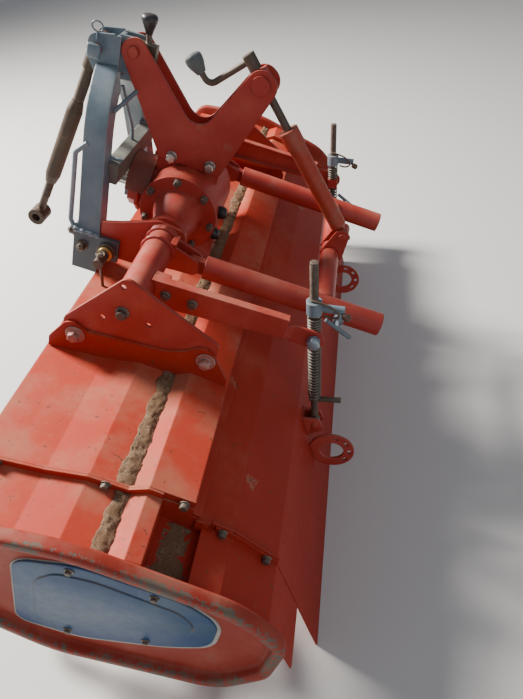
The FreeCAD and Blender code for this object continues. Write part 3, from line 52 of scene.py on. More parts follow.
Colour = tuple[float, float, float]
Point = tuple[float, float, float]


class Body(Enum):
    """The moving bodies of the tiller, as the frame names them."""

    CHASSIS = "chassis"
    ROTOR = "rotor"
    INPUT = "input"
    REAR_COVER = "rear_cover"
    TRUNNIONS = "hanger_trunnions"
    RODS = "hanger_rods"
    REAR_FRAME = "rear_frame"
    STRUT_SCREW = "strut_screw"
    STRUT_TUBE = "strut_tube"
    TOP_LINK = "top_link"


@dataclass(frozen=True)
class Finish:
    """How a surface looks: its coat, what shows where the coat is gone, what lies on it, and its paler upward faces,
    partly sun fading and partly painted sunlight.
    """

    name: str
    slot: str
    coat: Colour
    faded_and_sunlit: Colour
    bare: Colour
    dirt: Colour = (0.22, 0.145, 0.09)
    roughness: float = 0.5
    metallic: float = 0.0
    wear: float = 0.3
    edge_wear: float = 0.5
    dirt_share: float = 0.3
    grain: float = 0.25
    patch_scale: float = 9.0
    # From level_from to level_to the upward faces gather dust and turn paler by the fade share; the paling is partly
    # sun-faded paint and partly painted sunlight.
    level_from: float = 0.45
    level_to: float = 0.95
    sunlit_fade_share: float = 0.0
    specks: float = 0.0
    gloss: float = 0.45
    bare_from: float = 0.0


# The paler upward faces of these finishes are partly sun-faded paint and partly painted sunlight.
RED = Finish("red_paint", "red_paint", (0.34, 0.026, 0.018), (0.46, 0.080, 0.052), (0.15, 0.062, 0.04),
             (0.30, 0.18, 0.12), roughness=0.46, wear=0.24, edge_wear=0.45, dirt_share=0.42, grain=0.3,
             level_from=0.6, level_to=0.97, sunlit_fade_share=0.35, specks=0.4, gloss=0.4)
# The covers' tops are painted much paler than their steeper rear faces: partly sun fading, partly painted sunlight.
RED_COVER = Finish("red_cover_paint", "red_paint", (0.34, 0.022, 0.011), (0.50, 0.052, 0.026), (0.13, 0.055, 0.035),
                   (0.36, 0.20, 0.125), roughness=0.56, wear=0.25, edge_wear=0.4, dirt_share=0.5, grain=0.35,
                   level_from=0.83, level_to=0.90, sunlit_fade_share=0.8, specks=0.9, gloss=0.22)
RED_RIM = Finish("worn_rim_paint", "red_paint", (0.28, 0.026, 0.013), (0.34, 0.065, 0.04), (0.13, 0.105, 0.082),
                 (0.22, 0.16, 0.115), roughness=0.6, wear=0.45, edge_wear=0.9, dirt_share=0.4, grain=0.6,
                 patch_scale=13.0, gloss=0.3, bare_from=0.836)
# The input guard's darker red is painted shade: it stands for the shadow under the cross beam.
SHADE_DARK_RED = Finish("shield_painted_shade", "red_paint", (0.17, 0.04, 0.026), (0.27, 0.125, 0.09), (0.10, 0.055, 0.04),
                  roughness=0.55, wear=0.4, edge_wear=0.5, dirt_share=0.3, grain=0.4)
STRUT_RED = Finish("strut_paint", "red_paint", (0.36, 0.035, 0.015), (0.30, 0.10, 0.06), (0.20, 0.13, 0.095),
                   roughness=0.5, wear=0.65, edge_wear=0.7, dirt_share=0.3, grain=0.4, patch_scale=16.0)
GREY_BLUE = Finish("grey_blue_paint", "grey_blue_paint", (0.112, 0.160, 0.198), (0.20, 0.25, 0.28),
                   (0.36, 0.34, 0.31), roughness=0.36, wear=0.28, edge_wear=0.65, dirt_share=0.15, grain=0.25)
DUSTY_GREY = Finish("dusty_grey_paint", "grey_blue_paint", (0.13, 0.135, 0.12), (0.21, 0.205, 0.175),
                    (0.30, 0.26, 0.21), (0.33, 0.29, 0.23), roughness=0.55, wear=0.35, edge_wear=0.5, dirt_share=0.6,
                    grain=0.35)
DARK_FOOT = Finish("dark_foot_paint", "grey_blue_paint", (0.062, 0.082, 0.098), (0.12, 0.135, 0.14),
                   (0.24, 0.2, 0.16), roughness=0.48, wear=0.45, edge_wear=0.6, dirt_share=0.4, grain=0.5)
BLUE = Finish("blue_panel_paint", "blue_paint", (0.010, 0.056, 0.155), (0.042, 0.098, 0.15), (0.15, 0.11, 0.08),
              (0.17, 0.14, 0.105), roughness=0.45, wear=0.5, edge_wear=0.6, dirt_share=0.45, grain=0.25,
              patch_scale=7.0, gloss=0.35)
PALE_EDGE = Finish("worn_edge_paint", "worn_steel", (0.40, 0.385, 0.35), (0.31, 0.29, 0.255), (0.20, 0.13, 0.085),
                   (0.26, 0.21, 0.15), roughness=0.6, wear=0.45, edge_wear=0.5, dirt_share=0.5, grain=0.4,
                   patch_scale=22.0)
BLACK = Finish("black_plastic", "black_plastic", (0.010, 0.010, 0.011), (0.03, 0.03, 0.032), (0.07, 0.06, 0.05),
               (0.12, 0.09, 0.07), roughness=0.35, wear=0.12, edge_wear=0.3, dirt_share=0.15, grain=0.15)
FADED_PLASTIC = Finish("faded_plastic", "black_plastic", (0.085, 0.10, 0.10), (0.20, 0.22, 0.21), (0.06, 0.06, 0.055),
                       (0.15, 0.12, 0.09), roughness=0.5, wear=0.25, edge_wear=0.3, dirt_share=0.2, grain=0.25,
                       sunlit_fade_share=0.5)
ZINC = Finish("bright_steel", "bright_steel", (0.46, 0.44, 0.40), (0.33, 0.31, 0.28), (0.24, 0.165, 0.11),
              roughness=0.36, metallic=0.85, wear=0.35, edge_wear=0.3, dirt_share=0.25, grain=0.2)
PAINTED_STEEL = Finish("painted_steel", "red_paint", (0.33, 0.075, 0.055), (0.42, 0.19, 0.15), (0.42, 0.37, 0.33),
                       roughness=0.45, wear=0.7, edge_wear=0.9, dirt_share=0.3, grain=0.3, patch_scale=40.0)
BLUE_ZINC = Finish("blue_zinc", "bright_steel", (0.25, 0.34, 0.42), (0.33, 0.38, 0.42), (0.22, 0.17, 0.12),
                   roughness=0.34, metallic=0.7, wear=0.3, edge_wear=0.3, dirt_share=0.2, grain=0.2)
BRASS = Finish("yellow_zinc", "bright_steel", (0.50, 0.36, 0.14), (0.40, 0.29, 0.12), (0.22, 0.14, 0.08),
               roughness=0.34, metallic=0.85, wear=0.25, edge_wear=0.3, dirt_share=0.2, grain=0.2)
DARK_STEEL = Finish("dark_steel", "worn_steel", (0.10, 0.07, 0.055), (0.16, 0.085, 0.05), (0.26, 0.22, 0.18),
                    roughness=0.5, metallic=0.3, wear=0.35, edge_wear=0.6, dirt_share=0.25, grain=0.3)
BROWN_STEEL = Finish("worn_steel", "worn_steel", (0.090, 0.066, 0.050), (0.15, 0.115, 0.088), (0.25, 0.205, 0.16),
                     roughness=0.5, metallic=0.35, wear=0.4, edge_wear=0.6, dirt_share=0.3, grain=0.5)
LINK_STEEL = Finish("link_steel", "worn_steel", (0.070, 0.048, 0.034), (0.11, 0.078, 0.056), (0.18, 0.135, 0.10),
                    (0.17, 0.12, 0.085), roughness=0.55, metallic=0.2, wear=0.45, edge_wear=0.6, dirt_share=0.3,
                    grain=0.6, patch_scale=14.0, gloss=0.3)
SPRING = Finish("spring_steel", "worn_steel", (0.17, 0.148, 0.125), (0.24, 0.205, 0.17), (0.24, 0.165, 0.115),
                roughness=0.38, metallic=0.6, wear=0.3, edge_wear=0.3, dirt_share=0.2, grain=0.3, patch_scale=20.0)
TINE = Finish("tine_steel", "tine_steel", (0.085, 0.06, 0.046), (0.14, 0.08, 0.05), (0.30, 0.28, 0.26),
              (0.19, 0.13, 0.085), roughness=0.5, metallic=0.5, wear=0.4, edge_wear=0.8, dirt_share=0.4, grain=0.6)
# The soil's near-black third colour gives dark flecks: partly dark granules, partly painted shade between the clods.
SOIL = Finish("dry_soil", "worn_steel", (0.17, 0.10, 0.058), (0.27, 0.175, 0.11), (0.06, 0.033, 0.019),
              (0.31, 0.21, 0.14), roughness=0.9, wear=0.85, edge_wear=0.0, dirt_share=0.5, grain=1.0,
              patch_scale=45.0, gloss=0.1)


@dataclass
class MaterialDesk:
    """Builds one node material for each finish and keeps it."""

    made: dict[str, bpy.types.Material] = field(default_factory=dict)

    def of(self, finish: Finish) -> bpy.types.Material:
        """Gives the material of a finish, built the first time it is asked for.

        Args:
            finish: The surface's finish.

        Returns:
            The node material.
        """
        if finish.name not in self.made:
            self.made[finish.name] = self.build(finish)
        return self.made[finish.name]

    def build(self, finish: Finish) -> bpy.types.Material:
        """Builds the node tree: coat, faded patches, paler upward faces (partly sun fading, partly painted sunlight),
        chips, worn edges, and dirt lying on top.

        Args:
            finish: The surface's finish.

        Returns:
            The new material.
        """
        material = bpy.data.materials.new(finish.name)
        material.use_nodes = True
        tree = material.node_tree
        nodes, links = tree.nodes, tree.links
        shader = nodes["Principled BSDF"]
        place = nodes.new("ShaderNodeTexCoord")

        def noise(scale: float, detail: float, rough: float = 0.6) -> bpy.types.NodeSocket:
            """A noise on object coordinates."""
            node = nodes.new("ShaderNodeTexNoise")
            node.inputs["Scale"].default_value = scale
            node.inputs["Detail"].default_value = detail
            node.inputs["Roughness"].default_value = rough
            links.new(place.outputs["Object"], node.inputs["Vector"])
            return node.outputs["Fac"]

        def window(source: bpy.types.NodeSocket, low: float, high: float, top: float = 1.0) -> bpy.types.NodeSocket:
            """Stretches part of a range to 0 to top."""
            node = nodes.new("ShaderNodeMapRange")
            node.clamp = True
            node.interpolation_type = "SMOOTHSTEP"
            node.inputs["From Min"].default_value = low
            node.inputs["From Max"].default_value = high
            node.inputs["To Max"].default_value = top
            links.new(source, node.inputs["Value"])
            return node.outputs["Result"]

        def maths(kind: str, first: bpy.types.NodeSocket, second: bpy.types.NodeSocket | float) -> bpy.types.NodeSocket:
            """A two-input maths node."""
            node = nodes.new("ShaderNodeMath")
            node.operation = kind
            node.use_clamp = kind in ("ADD", "MULTIPLY", "MAXIMUM")
            links.new(first, node.inputs[0])
            if isinstance(second, float):
                node.inputs[1].default_value = second
            else:
                links.new(second, node.inputs[1])
            return node.outputs[0]

        def mixed(share: bpy.types.NodeSocket, first: bpy.types.NodeSocket | Colour,
                  second: bpy.types.NodeSocket | Colour) -> bpy.types.NodeSocket:
            """Mixes two colours by a share."""
            node = nodes.new("ShaderNodeMix")
            node.data_type = "RGBA"
            links.new(share, node.inputs[0])
            for value, socket in ((first, node.inputs[6]), (second, node.inputs[7])):
                if isinstance(value, tuple):
                    socket.default_value = (*value, 1.0)
                else:
                    links.new(value, socket)
            return node.outputs[2]

        clouds = noise(finish.patch_scale, 4.0)
        flecks = noise(finish.patch_scale * 9, 6.0, 0.7)
        grain = noise(700.0, 3.0)
        spread = 0.5 + 0.2 * (1 - finish.wear)
        split = nodes.new("ShaderNodeSeparateXYZ")
        links.new(place.outputs["Normal"], split.inputs[0])
        # Upward-facing mask: real dust settles here, and the paler coat it brings is partly sun fading and partly
        # painted sunlight.
        upward_dust_and_sunlit = window(split.outputs["Z"], finish.level_from, finish.level_to)
        fade_and_sunlit_tone = maths("ADD", window(clouds, 0.40, 0.75, 1 - finish.sunlit_fade_share), maths("MULTIPLY", upward_dust_and_sunlit, finish.sunlit_fade_share))
        coat = mixed(fade_and_sunlit_tone, finish.coat, finish.faded_and_sunlit)
        harm = maths("ADD", maths("MULTIPLY", clouds, 0.35), maths("MULTIPLY", flecks, 0.65))
        if finish.bare_from:
            spot_place = nodes.new("ShaderNodeSeparateXYZ")
            links.new(place.outputs["Object"], spot_place.inputs[0])
            outward = maths("ABSOLUTE", spot_place.outputs["Y"], 0.0)
            harm = maths("ADD", harm, window(outward, finish.bare_from, finish.bare_from + 0.008, 0.115))
        chips = window(harm, spread, spread + 0.035)
        bevel = nodes.new("ShaderNodeBevel")
        bevel.samples = 4
        bevel.inputs["Radius"].default_value = 0.0035
        geometry = nodes.new("ShaderNodeNewGeometry")
        turn = nodes.new("ShaderNodeVectorMath")
        turn.operation = "DOT_PRODUCT"
        links.new(bevel.outputs["Normal"], turn.inputs[0])
        links.new(geometry.outputs["True Normal"], turn.inputs[1])
        edge = window(maths("MULTIPLY", turn.outputs["Value"], 1.0), 0.985, 0.86, finish.edge_wear)
        edge = window(maths("MULTIPLY", edge, flecks), 0.22, 0.3)
        bare = maths("MAXIMUM", chips, edge)
        colour = mixed(bare, coat, finish.bare)

        dust = maths("MULTIPLY", upward_dust_and_sunlit, window(clouds, 0.42, 0.72, finish.dirt_share))
        dust = maths("ADD", dust, maths("MULTIPLY", window(flecks, 0.55, 0.8, finish.dirt_share * 0.5), 1.0))
        colour = mixed(dust, colour, finish.dirt)
        if finish.specks:
            ripple = nodes.new("ShaderNodeTexNoise")
            ripple.inputs["Scale"].default_value = 55.0
            ripple.inputs["Detail"].default_value = 4.0
            links.new(place.outputs["Object"], ripple.inputs["Vector"])
            warp = nodes.new("ShaderNodeVectorMath")
            warp.operation = "MULTIPLY_ADD"
            warp.inputs[1].default_value = (0.045, 0.045, 0.045)
            links.new(ripple.outputs["Color"], warp.inputs[0])
            links.new(place.outputs["Object"], warp.inputs[2])
            for density, reach, few, tint, strength in ((17.0, 0.25, 0.84, finish.dirt, 0.55),
                                                        (62.0, 0.22, 0.62, finish.bare, 1.0),
                                                        (118.0, 0.26, 0.80, finish.bare, 1.0)):
                cells = nodes.new("ShaderNodeTexVoronoi")
                cells.inputs["Scale"].default_value = density
                links.new(warp.outputs[0], cells.inputs["Vector"])
                pick = nodes.new("ShaderNodeSeparateColor")
                links.new(cells.outputs["Color"], pick.inputs[0])
                spot = maths("MULTIPLY", window(cells.outputs["Distance"], reach, reach * 0.6),
                             window(pick.outputs[0], few, few + 0.04))
                spot = maths("MULTIPLY", spot, window(flecks, 0.42, 0.5, finish.specks * strength))
                colour = mixed(spot, colour, tint)
        links.new(colour, shader.inputs["Base Color"])
        shader.inputs["Specular IOR Level"].default_value = finish.gloss

        rough = maths("ADD", maths("MULTIPLY", flecks, 0.3), finish.roughness - 0.15)
        rough = maths("ADD", rough, maths("MULTIPLY", dust, 0.4))
        links.new(rough, shader.inputs["Roughness"])
        if finish.metallic:
            links.new(maths("MULTIPLY", window(maths("ADD", bare, dust), 1.0, 0.2), finish.metallic),
                      shader.inputs["Metallic"])
        bump = nodes.new("ShaderNodeBump")
        bump.inputs["Strength"].default_value = finish.grain
        bump.inputs["Distance"].default_value = 0.0006
        relief = maths("SUBTRACT", maths("ADD", maths("MULTIPLY", grain, 0.5), maths("MULTIPLY", flecks, 0.5)),
                       maths("MULTIPLY", bare, 0.4))
        links.new(relief, bump.inputs["Height"])
        links.new(bevel.outputs["Normal"], bump.inputs["Normal"])
        links.new(bump.outputs["Normal"], shader.inputs["Normal"])
        return material


@dataclass
class Studio:
    """The pale floor, the soft lights and the camera that stands where the photograph was taken."""

    eye: Point = (-0.3595, 1.1781, 1.1734)
    right: Point = (-0.9873, -0.1458, -0.0626)
    up: Point = (0.0480, -0.6503, 0.7581)
    lens: float = 38.547
    floor_colour: Colour = (0.62, 0.61, 0.59)

    def build(self) -> None:
        """Makes the floor, the lights, the world and the camera."""
        self.lay_floor()
        self.hang_lights()
        self.set_camera()

    def lay_floor(self) -> None:
        """Lays a plain pale floor under the tiller."""
        bpy.ops.object.select_all(action="DESELECT")
        bpy.ops.mesh.primitive_plane_add(size=24, location=(0, 0, 0))
        floor = bpy.context.object
        floor.name = "floor"
        material = bpy.data.materials.new("pale_floor")
        material.use_nodes = True
        shader = material.node_tree.nodes["Principled BSDF"]
        shader.inputs["Base Color"].default_value = (*self.floor_colour, 1)
        shader.inputs["Roughness"].default_value = 0.9
        floor.data.materials.append(material)

    def hang_lights(self) -> None:
        """Hangs a large key light, a fill and an even world light."""
        for name, place, size, power, colour in (
            ("key_light", (3.3, -1.0, 3.4), 1.0, 830, (1.0, 0.95, 0.88)),
            ("fill_light", (-2.4, 3.0, 2.2), 3.0, 26, (0.90, 0.95, 1.0)),
        ):
            lamp = bpy.data.lights.new(name, "AREA")
            lamp.size = size
            lamp.energy = power
            lamp.color = colour
            holder = bpy.data.objects.new(name, lamp)
            holder.location = place
            way = Vector((-0.05, 0.1, 0.4)) - Vector(place)
            holder.rotation_euler = way.to_track_quat("-Z", "Y").to_euler()
            bpy.context.collection.objects.link(holder)
        world = bpy.data.worlds.new("studio_air")
        world.use_nodes = True
        back = world.node_tree.nodes["Background"]
        back.inputs["Color"].default_value = (0.86, 0.9, 1.0, 1)
        back.inputs["Strength"].default_value = 0.31
        bpy.context.scene.world = world

    def set_camera(self) -> None:
        """Stands the camera at the photograph's place, with its roll."""
        right, up = Vector(self.right).normalized(), Vector(self.up).normalized()
        back = right.cross(up).normalized()
        up = back.cross(right).normalized()
        turn = Matrix((right, up, back)).transposed()
        data = bpy.data.cameras.new("photo_camera")
        data.sensor_width = 36.0
        data.sensor_fit = "HORIZONTAL"
        data.lens = self.lens
        data.clip_start = 0.02
        camera = bpy.data.objects.new("photo_camera", data)
        camera.matrix_world = Matrix.Translation(self.eye) @ turn.to_4x4()
        bpy.context.collection.objects.link(camera)
        bpy.context.scene.camera = camera


@dataclass(frozen=True)
class Stand:
    """How the parked tiller stands: its own axes, level with the rear tubes, in the room's axes."""

    pitch: float = 19.9432
    axle: Point = (0.025858, 0.0, 0.606888)

    def matrix(self) -> Matrix:
        """Gives the turn and shift from the tiller's own axes to the room's."""
        return Matrix.Translation(self.axle) @ Matrix.Rotation(math.radians(-self.pitch), 4, "Y")


Side = tuple[str, int]
SIDES: tuple[Side, ...] = (("left", 1), ("right", -1))
UP: Point = (0.0, 0.0, 1.0)


@dataclass
class Bench:
    """The bench on which pieces are made, and handed over to the body that carries them."""

    desk: MaterialDesk
    stand: Stand = field(default_factory=Stand)

    def clear(self) -> None:
        """Leaves nothing selected."""
        bpy.ops.object.select_all(action="DESELECT")

    def take(self, piece: bpy.types.Object) -> bpy.types.Object:
        """Selects one piece alone and makes it active."""
        self.clear()
        piece.select_set(True)
        bpy.context.view_layer.objects.active = piece
        return piece

    def drum(self, radius: float, height: float, place: Point = (0, 0, 0), sides: int = 32) -> bpy.types.Object:
        """Adds an upright drum, or a prism where the sides are few."""
        self.clear()
        bpy.ops.mesh.primitive_cylinder_add(vertices=sides, radius=radius, depth=height, location=place)
        return self.settle(bpy.context.object)

    def brick(self, size: Point, place: Point) -> bpy.types.Object:
        """Adds a box of a given size about a place."""
        self.clear()
        bpy.ops.mesh.primitive_cube_add(size=1, location=place)
        bpy.context.object.scale = size
        return self.settle(bpy.context.object)

    def settle(self, piece: bpy.types.Object) -> bpy.types.Object:
        """Applies a piece's place, turn and scale to its mesh."""
        self.take(piece)
        bpy.ops.object.transform_apply(location=True, rotation=True, scale=True)
        return piece

    def pick(self, piece: bpy.types.Object, wanted: Callable[[Vector, Vector], bool]) -> None:
        """Opens a piece in edit mode with some of its faces selected.

        Args:
            piece: The piece to open.
            wanted: Tells from a face's middle and normal whether it is selected.
        """
        self.take(piece)
        bpy.ops.object.mode_set(mode="EDIT")
        bpy.ops.mesh.select_mode(type="FACE")
        bpy.ops.mesh.select_all(action="DESELECT")
        shell = bmesh.from_edit_mesh(piece.data)
        for face in shell.faces:
            face.select_set(wanted(face.calc_center_median(), face.normal))
        bmesh.update_edit_mesh(piece.data)

    def close(self) -> None:
        """Leaves edit mode."""
        bpy.ops.object.mode_set(mode="OBJECT")

    def modify(self, piece: bpy.types.Object, kind: str, **settings: object) -> bpy.types.Object:
        """Adds a modifier and applies it.

        Args:
            piece: The piece to change.
            kind: The modifier's type.
            settings: The modifier's settings.

        Returns:
            The same piece.
        """
        self.take(piece)
        change = piece.modifiers.new(kind.lower(), kind)
        for key, value in settings.items():
            setattr(change, key, value)
        bpy.ops.object.modifier_apply(modifier=change.name)
        return piece

    def rounded(self, piece: bpy.types.Object, width: float, segments: int = 2, angle: float = 35) -> bpy.types.Object:
        """Rounds the edges that are sharper than an angle in degrees."""
        return self.modify(piece, "BEVEL", width=width, segments=segments, limit_method="ANGLE",
                           angle_limit=math.radians(angle))

    def copy_to(self, piece: bpy.types.Object, place: Sequence[float], way: Sequence[float] = UP,
                spin: float = 0.0) -> bpy.types.Object:
        """Makes a copy with its own mesh, stood at a place with its top along a way.

        Args:
            piece: The piece to copy, modelled upright at the origin.
            place: Where the copy's foot goes.
            way: Where its top points.
            spin: Its turn about that way, in degrees.

        Returns:
            The copy.
        """
        twin = piece.copy()
        twin.data = piece.data.copy()
        bpy.context.collection.objects.link(twin)
        turn = Vector(UP).rotation_difference(Vector(way).normalized()).to_matrix().to_4x4()
        twin.matrix_world = Matrix.Translation(place) @ turn @ Matrix.Rotation(math.radians(spin), 4, "Z")
        return self.settle(twin)

    def joined(self, pieces: Sequence[bpy.types.Object]) -> bpy.types.Object:
        """Joins pieces into the first one."""
        self.clear()
        for piece in pieces:
            piece.select_set(True)
        bpy.context.view_layer.objects.active = pieces[0]
        if len(pieces) > 1:
            bpy.ops.object.join()
        return pieces[0]

    def repeated(self, pattern: bpy.types.Object,
                 spots: Iterable[tuple[Sequence[float], Sequence[float], float]]) -> bpy.types.Object:
        """Copies a pattern to every spot, joins the copies and removes the pattern.

        Args:
            pattern: The piece to repeat.
            spots: The place, the way and the spin of each copy.

        Returns:
            The joined copies.
        """
        twins = [self.copy_to(pattern, *spot) for spot in spots]
        bpy.data.objects.remove(pattern)
        return self.joined(twins)

    def sheet(self, corners: Sequence[tuple[float, float]], round_by: float, thickness: float) -> bpy.types.Object:
        """Cuts an upright plate to an outline in side view, its middle plane at Y = 0.

        Args:
            corners: How far forward and up each corner is.
            round_by: How far back from a corner its rounding starts.
            thickness: The plate's thickness.

        Returns:
            The closed plate.
        """
        self.clear()
        bpy.ops.mesh.primitive_circle_add(vertices=len(corners), radius=1, fill_type="NGON")
        plate = self.settle(bpy.context.object)
        for vertex, (ahead, above) in zip(plate.data.vertices, corners):
            vertex.co = (ahead, 0, above)
        self.modify(plate, "BEVEL", affect="VERTICES", width=round_by, segments=5)
        self.modify(plate, "SOLIDIFY", thickness=thickness, offset=0)
        bpy.ops.object.mode_set(mode="EDIT")
        bpy.ops.mesh.select_all(action="SELECT")
        bpy.ops.mesh.normals_make_consistent(inside=False)
        self.close()
        return plate

    def turned(self, profile: Sequence[tuple[float, float]], sides: int = 28) -> bpy.types.Object:
        """Turns an upright solid from its heights and radii, drawn up from its foot ring by ring.

        Args:
            profile: The height and radius of each ring, from the foot up.
            sides: Sides of the rings.

        Returns:
            The solid.
        """
        (foot, _), (height, radius) = profile[:2]
        piece = self.drum(radius, height - foot, (0, 0, (foot + height) / 2), sides)
        self.pick(piece, lambda middle, normal: normal.z < -0.9)
        bpy.ops.transform.resize(value=(profile[0][1] / radius, profile[0][1] / radius, 1))
        self.close()
        self.pick(piece, lambda middle, normal: normal.z > 0.9 and middle.length_squared > 0)
        for (low, wide), (high, wide_next) in zip(profile[1:], profile[2:]):
            bpy.ops.mesh.extrude_region_move(TRANSFORM_OT_translate={"value": (0, 0, high - low)})
            bpy.ops.transform.resize(value=(wide_next / wide, wide_next / wide, 1))
        self.close()
        return piece

    def bolt(self, across: float, height: float, washer: float, wall: float = 0.0025,
             stud: float = 0.0) -> bpy.types.Object:
        """Models an upright hexagon bolt on its washer, with a stud's end where it is a nut.

        Args:
            across: Width across the flats.
            height: Height of the head.
            washer: Radius of the washer.
            wall: Thickness of the washer.
            stud: How far a stud's end stands out of the nut.

        Returns:
            The bolt.
        """
        head = self.drum(across / math.sqrt(3), height, (0, 0, wall + height / 2), 6)
        self.pick(head, lambda middle, normal: normal.z > 0.9)
        bpy.ops.mesh.inset(thickness=across * 0.09)
        bpy.ops.transform.translate(value=(0, 0, height * 0.14))
        self.close()
        self.rounded(head, across * 0.025)
        plate = self.rounded(self.drum(washer, wall, (0, 0, wall / 2), 28), wall * 0.35)
        parts = [head, plate]
        if stud:
            end = self.drum(across * 0.3, height, (0, 0, wall + height * 0.62 + stud), 20)
            parts.append(self.rounded(end, across * 0.06))
        return self.joined(parts)

    def coil(self, radius: float, wire: float, pitch: float, turns: int, foot: Point = (0, 0, 0),
             sides: int = 8, steps: int = 22) -> bpy.types.Object:
        """Winds a wire upright about an axis, as a spring or as a screw's thread.

        Args:
            radius: From the axis to the wire's middle.
            wire: The wire's thickness.
            pitch: Rise of one turn.
            turns: Number of turns.
            foot: Where the winding starts.
            sides: Sides of the wire's section.
            steps: Steps of one turn.

        Returns:
            The closed winding.
        """
        self.clear()
        bpy.ops.mesh.primitive_circle_add(vertices=sides, radius=wire / 2, location=(radius, 0, 0),
                                          rotation=(math.pi / 2, 0, 0))
        ring = self.settle(bpy.context.object)
        self.modify(ring, "SCREW", axis="Z", angle=math.tau, screw_offset=pitch, iterations=turns, steps=steps,
                    render_steps=steps)
        self.take(ring)
        bpy.ops.object.mode_set(mode="EDIT")
        bpy.ops.mesh.select_all(action="SELECT")
        bpy.ops.mesh.fill_holes(sides=sides)
        bpy.ops.mesh.normals_make_consistent(inside=False)
        self.close()
        ring.location = foot
        return self.settle(ring)

    def wire(self, points: Sequence[Point], radius: float, swell: float = 0.0, closed: bool = False,
             smooth: bool = True) -> bpy.types.Object:
        """Bends a round wire through points. A weld bead is such a wire with a swell.

        Args:
            points: The points of the wire's line.
            radius: The wire's radius.
            swell: Share by which the radius swells and narrows from point to point.
            closed: Whether the wire is a ring.
            smooth: Whether it curves at its points.

        Returns:
            The wire as a mesh.
        """
        line = bpy.data.curves.new("wire_line", "CURVE")
        line.dimensions = "3D"
        line.bevel_depth = radius
        line.bevel_resolution = 2
        line.resolution_u = 6
        line.use_fill_caps = not closed
        run = line.splines.new("BEZIER")
        run.bezier_points.add(len(points) - 1)
        for index, (knot, point) in enumerate(zip(run.bezier_points, points)):
            knot.co = point
            knot.handle_left_type = knot.handle_right_type = "AUTO" if smooth else "VECTOR"
            knot.radius = 1 + swell * math.sin(index * 2.4)
        run.use_cyclic_u = closed
        piece = bpy.data.objects.new("wire", line)
        bpy.context.collection.objects.link(piece)
        self.take(piece)
        bpy.ops.object.convert(target="MESH")
        return self.settle(bpy.context.object)

    def bead(self, start: Sequence[float], end: Sequence[float], radius: float = 0.004) -> bpy.types.Object:
        """Lays a weld bead from one place to another."""
        first, last = Vector(start), Vector(end)
        count = max(3, int((last - first).length / 0.006))
        return self.wire([tuple(first.lerp(last, step / count)) for step in range(count + 1)], radius, 0.22)

    def ring_bead(self, middle: Point, ring: float, radius: float = 0.004) -> bpy.types.Object:
        """Lays a weld bead round a tube that lies across the tiller."""
        count = max(12, int(math.tau * ring / 0.008))
        points = []
        for step in range(count):
            angle = math.tau * step / count
            points.append((middle[0] + ring * math.cos(angle), middle[1], middle[2] + ring * math.sin(angle)))
        return self.wire(points, radius, 0.2, closed=True)

    def node_copy(self, *names: str) -> bpy.types.Object:
        """Makes one mesh of copies of CAD nodes, with its loose triangles merged."""
        twins = []
        for name in names:
            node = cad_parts[name]
            twin = node.copy()
            twin.data = node.data.copy()
            twin.parent = None
            bpy.context.collection.objects.link(twin)
            twins.append(twin)
        whole = self.joined(twins)
        bpy.ops.object.mode_set(mode="EDIT")
        bpy.ops.mesh.select_all(action="SELECT")
        bpy.ops.mesh.remove_doubles(threshold=0.00002)
        bpy.ops.mesh.dissolve_limited(angle_limit=math.radians(0.5))
        self.close()
        return whole

    def hand_over(self, piece: bpy.types.Object, name: str, body: Body, finish: Finish, tilted: bool = True,
                  smooth: float = 35) -> bpy.types.Object:
        """Finishes a piece: its place, name, material and shading, and the body that it rides.

        Args:
            piece: The piece.
            name: Its name.
            body: The body that carries it.
            finish: Its finish.
            tilted: Whether it was modelled in the tiller's own axes.
            smooth: The angle in degrees up to which its edges shade smoothly.

        Returns:
            The finished piece.
        """
        if tilted:
            piece.matrix_world = self.stand.matrix() @ piece.matrix_world
        self.settle(piece)
        piece.name = piece.data.name = name
        piece.data.materials.clear()
        piece.data.materials.append(self.desk.of(finish))
        bpy.ops.object.shade_smooth_by_angle(angle=math.radians(smooth))
        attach(piece, body.value)
        log.info("%s: %d faces, %s on %s", name, len(piece.data.polygons), finish.name, body.value)
        return piece


